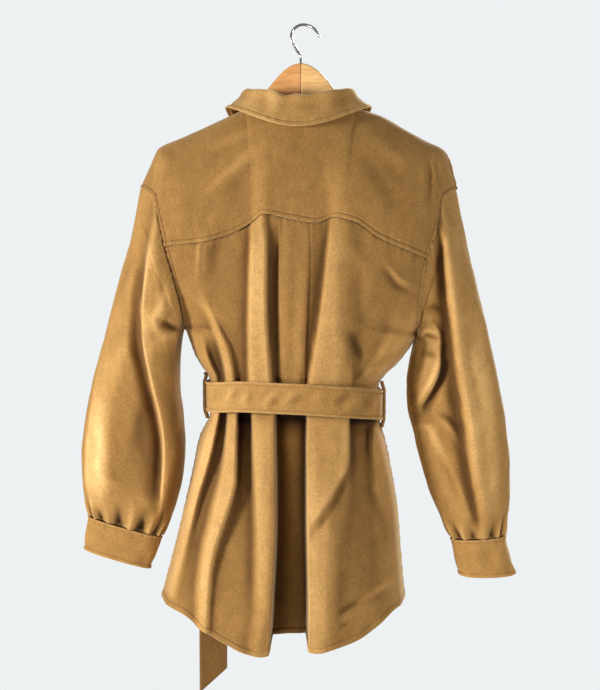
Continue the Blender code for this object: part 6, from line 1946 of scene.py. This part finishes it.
def chromeMaterial():
    made, tree, shader, vector = startMaterial("chromed wire")
    smear = noise(tree, vector, 90.0, 4.0)
    finishMaterial(tree, shader, noise(tree, vector, 700.0, 2.0), 0.08, 0.0001, {
        "Base Color": ramp(tree, smear, *finishes["chrome"]),
        "Roughness": maths(tree, "MULTIPLY_ADD", smear, 0.16, 0.06), "Metallic": 1.0})
    return made


def hornMaterial():
    made, tree, shader, vector = startMaterial("brown horn")
    veins = noise(tree, vector, 260.0, 5.0, 0.6, (1.0, 0.35, 1.0))
    finishMaterial(tree, shader, veins, 0.12, 0.0002, {
        "Base Color": ramp(tree, veins, *finishes["horn"]),
        "Roughness": maths(tree, "MULTIPLY_ADD", veins, 0.25, 0.16),
        "Coat Weight": 0.3, "Coat Roughness": 0.15})
    return made


studio = {
    "floorZ": -1.32,
    "floorRadius": 1.5,
    "floorColour": (0.80, 0.815, 0.80),
    "backdrop": (0.850, 0.880, 0.890),
    "fill": 0.20,
    "fillColour": (1.0, 0.96, 0.90),
    "lookAt": (0.0, 0.0, -0.52),
    "lights": {               # place, size, watts, colour
        "key": ((-2.1, -1.2, -0.2), 0.6, 68, (1.0, 0.97, 0.94)),
        "side": ((1.9, -1.4, -0.5), 0.7, 26, (1.0, 0.98, 0.96)),
        "low": ((-0.7, -1.7, -1.15), 0.5, 10, (1.0, 0.98, 0.95)),
        "behind": ((1.4, 2.4, 0.9), 1.6, 90, (1.0, 0.98, 0.96)),
    },
}

camera = {"at": (-0.005, -1.66, -0.393), "along": (0.0, 1.6, -0.093), "lens": 55.65, "sensor": 36.0}


def makeFloor():
    disc = bmesh.new()
    bmesh.ops.create_circle(disc, cap_ends=True, segments=96, radius=studio["floorRadius"])
    mesh = bpy.data.meshes.new("studio_floor")
    disc.to_mesh(mesh)
    disc.free()
    ground = newObject("studio_floor", mesh)
    ground.location = (0, 0, studio["floorZ"])
    paper, tree, shader, vector = startMaterial("pale paper")
    reach = addNode(tree, "VectorMath", {0: vector}, operation="LENGTH").outputs["Value"]
    fade = ramp(tree, maths(tree, "DIVIDE", reach, studio["floorRadius"]), (0.25, 1.0), (0.55, 0.0))
    for key, value in {"Base Color": studio["floorColour"], "Roughness": 0.85, "Alpha": fade}.items():
        feed(tree, shader.inputs[key], value)
    mesh.materials.append(paper)


def makeStudio():
    makeFloor()
    world = bpy.data.worlds.new("pale studio")
    bpy.context.scene.world = world
    world.use_nodes = True
    tree = world.node_tree
    seen = tree.nodes["Background"]
    feed(tree, seen.inputs["Color"], studio["backdrop"])
    fill = addNode(tree, "Background", {"Color": studio["fillColour"], "Strength": studio["fill"]})
    rays = addNode(tree, "LightPath", {}).outputs["Is Camera Ray"]
    pick = addNode(tree, "MixShader", {0: rays, 1: fill.outputs[0], 2: seen.outputs[0]})
    tree.links.new(pick.outputs[0], tree.nodes["World Output"].inputs["Surface"])
    for name, (place, size, watts, colour) in studio["lights"].items():
        light = bpy.data.lights.new(name + " light", "AREA")
        light.shape = "DISK"
        light.size = size
        light.energy = watts
        light.color = colour
        lamp = newObject(name + " light", light)
        lamp.location = place
        lamp.rotation_euler = (Vector(studio["lookAt"]) - lamp.location).to_track_quat("-Z", "Y").to_euler()
    lens = bpy.data.cameras.new("camera")
    lens.sensor_width = camera["sensor"]
    lens.lens = camera["lens"]
    eye = newObject("camera", lens)
    eye.location = camera["at"]
    eye.rotation_euler = Vector(camera["along"]).to_track_quat("-Z", "Y").to_euler()
    bpy.context.scene.camera = eye
    bpy.context.scene.view_settings.view_transform = "Standard"
    print("studio: floor, world, lights and camera")


suede = suedeMaterial(napGroup())
backPoints = makeBack(suede)
makeYoke(suede, backPoints)
makeFront("left", suede)
bandStrip = makeBand(suede, makeFront("right", suede))
makeCollar(suede)
for side in ("left", "right"):
    makeSleeve(side, suede)
    makeCuff(side, suede)
    makeLoop(side, suede, backPoints)
makeBelt(suede)
makeKnot(suede)
makeTail("belt_tail_long", suede)
makeTail("belt_tail_short", suede)
makeButtons(bandStrip, hornMaterial())
makeWood(woodMaterial())
makeHook(chromeMaterial())
makeStitches(threadMaterial())
makeStudio()
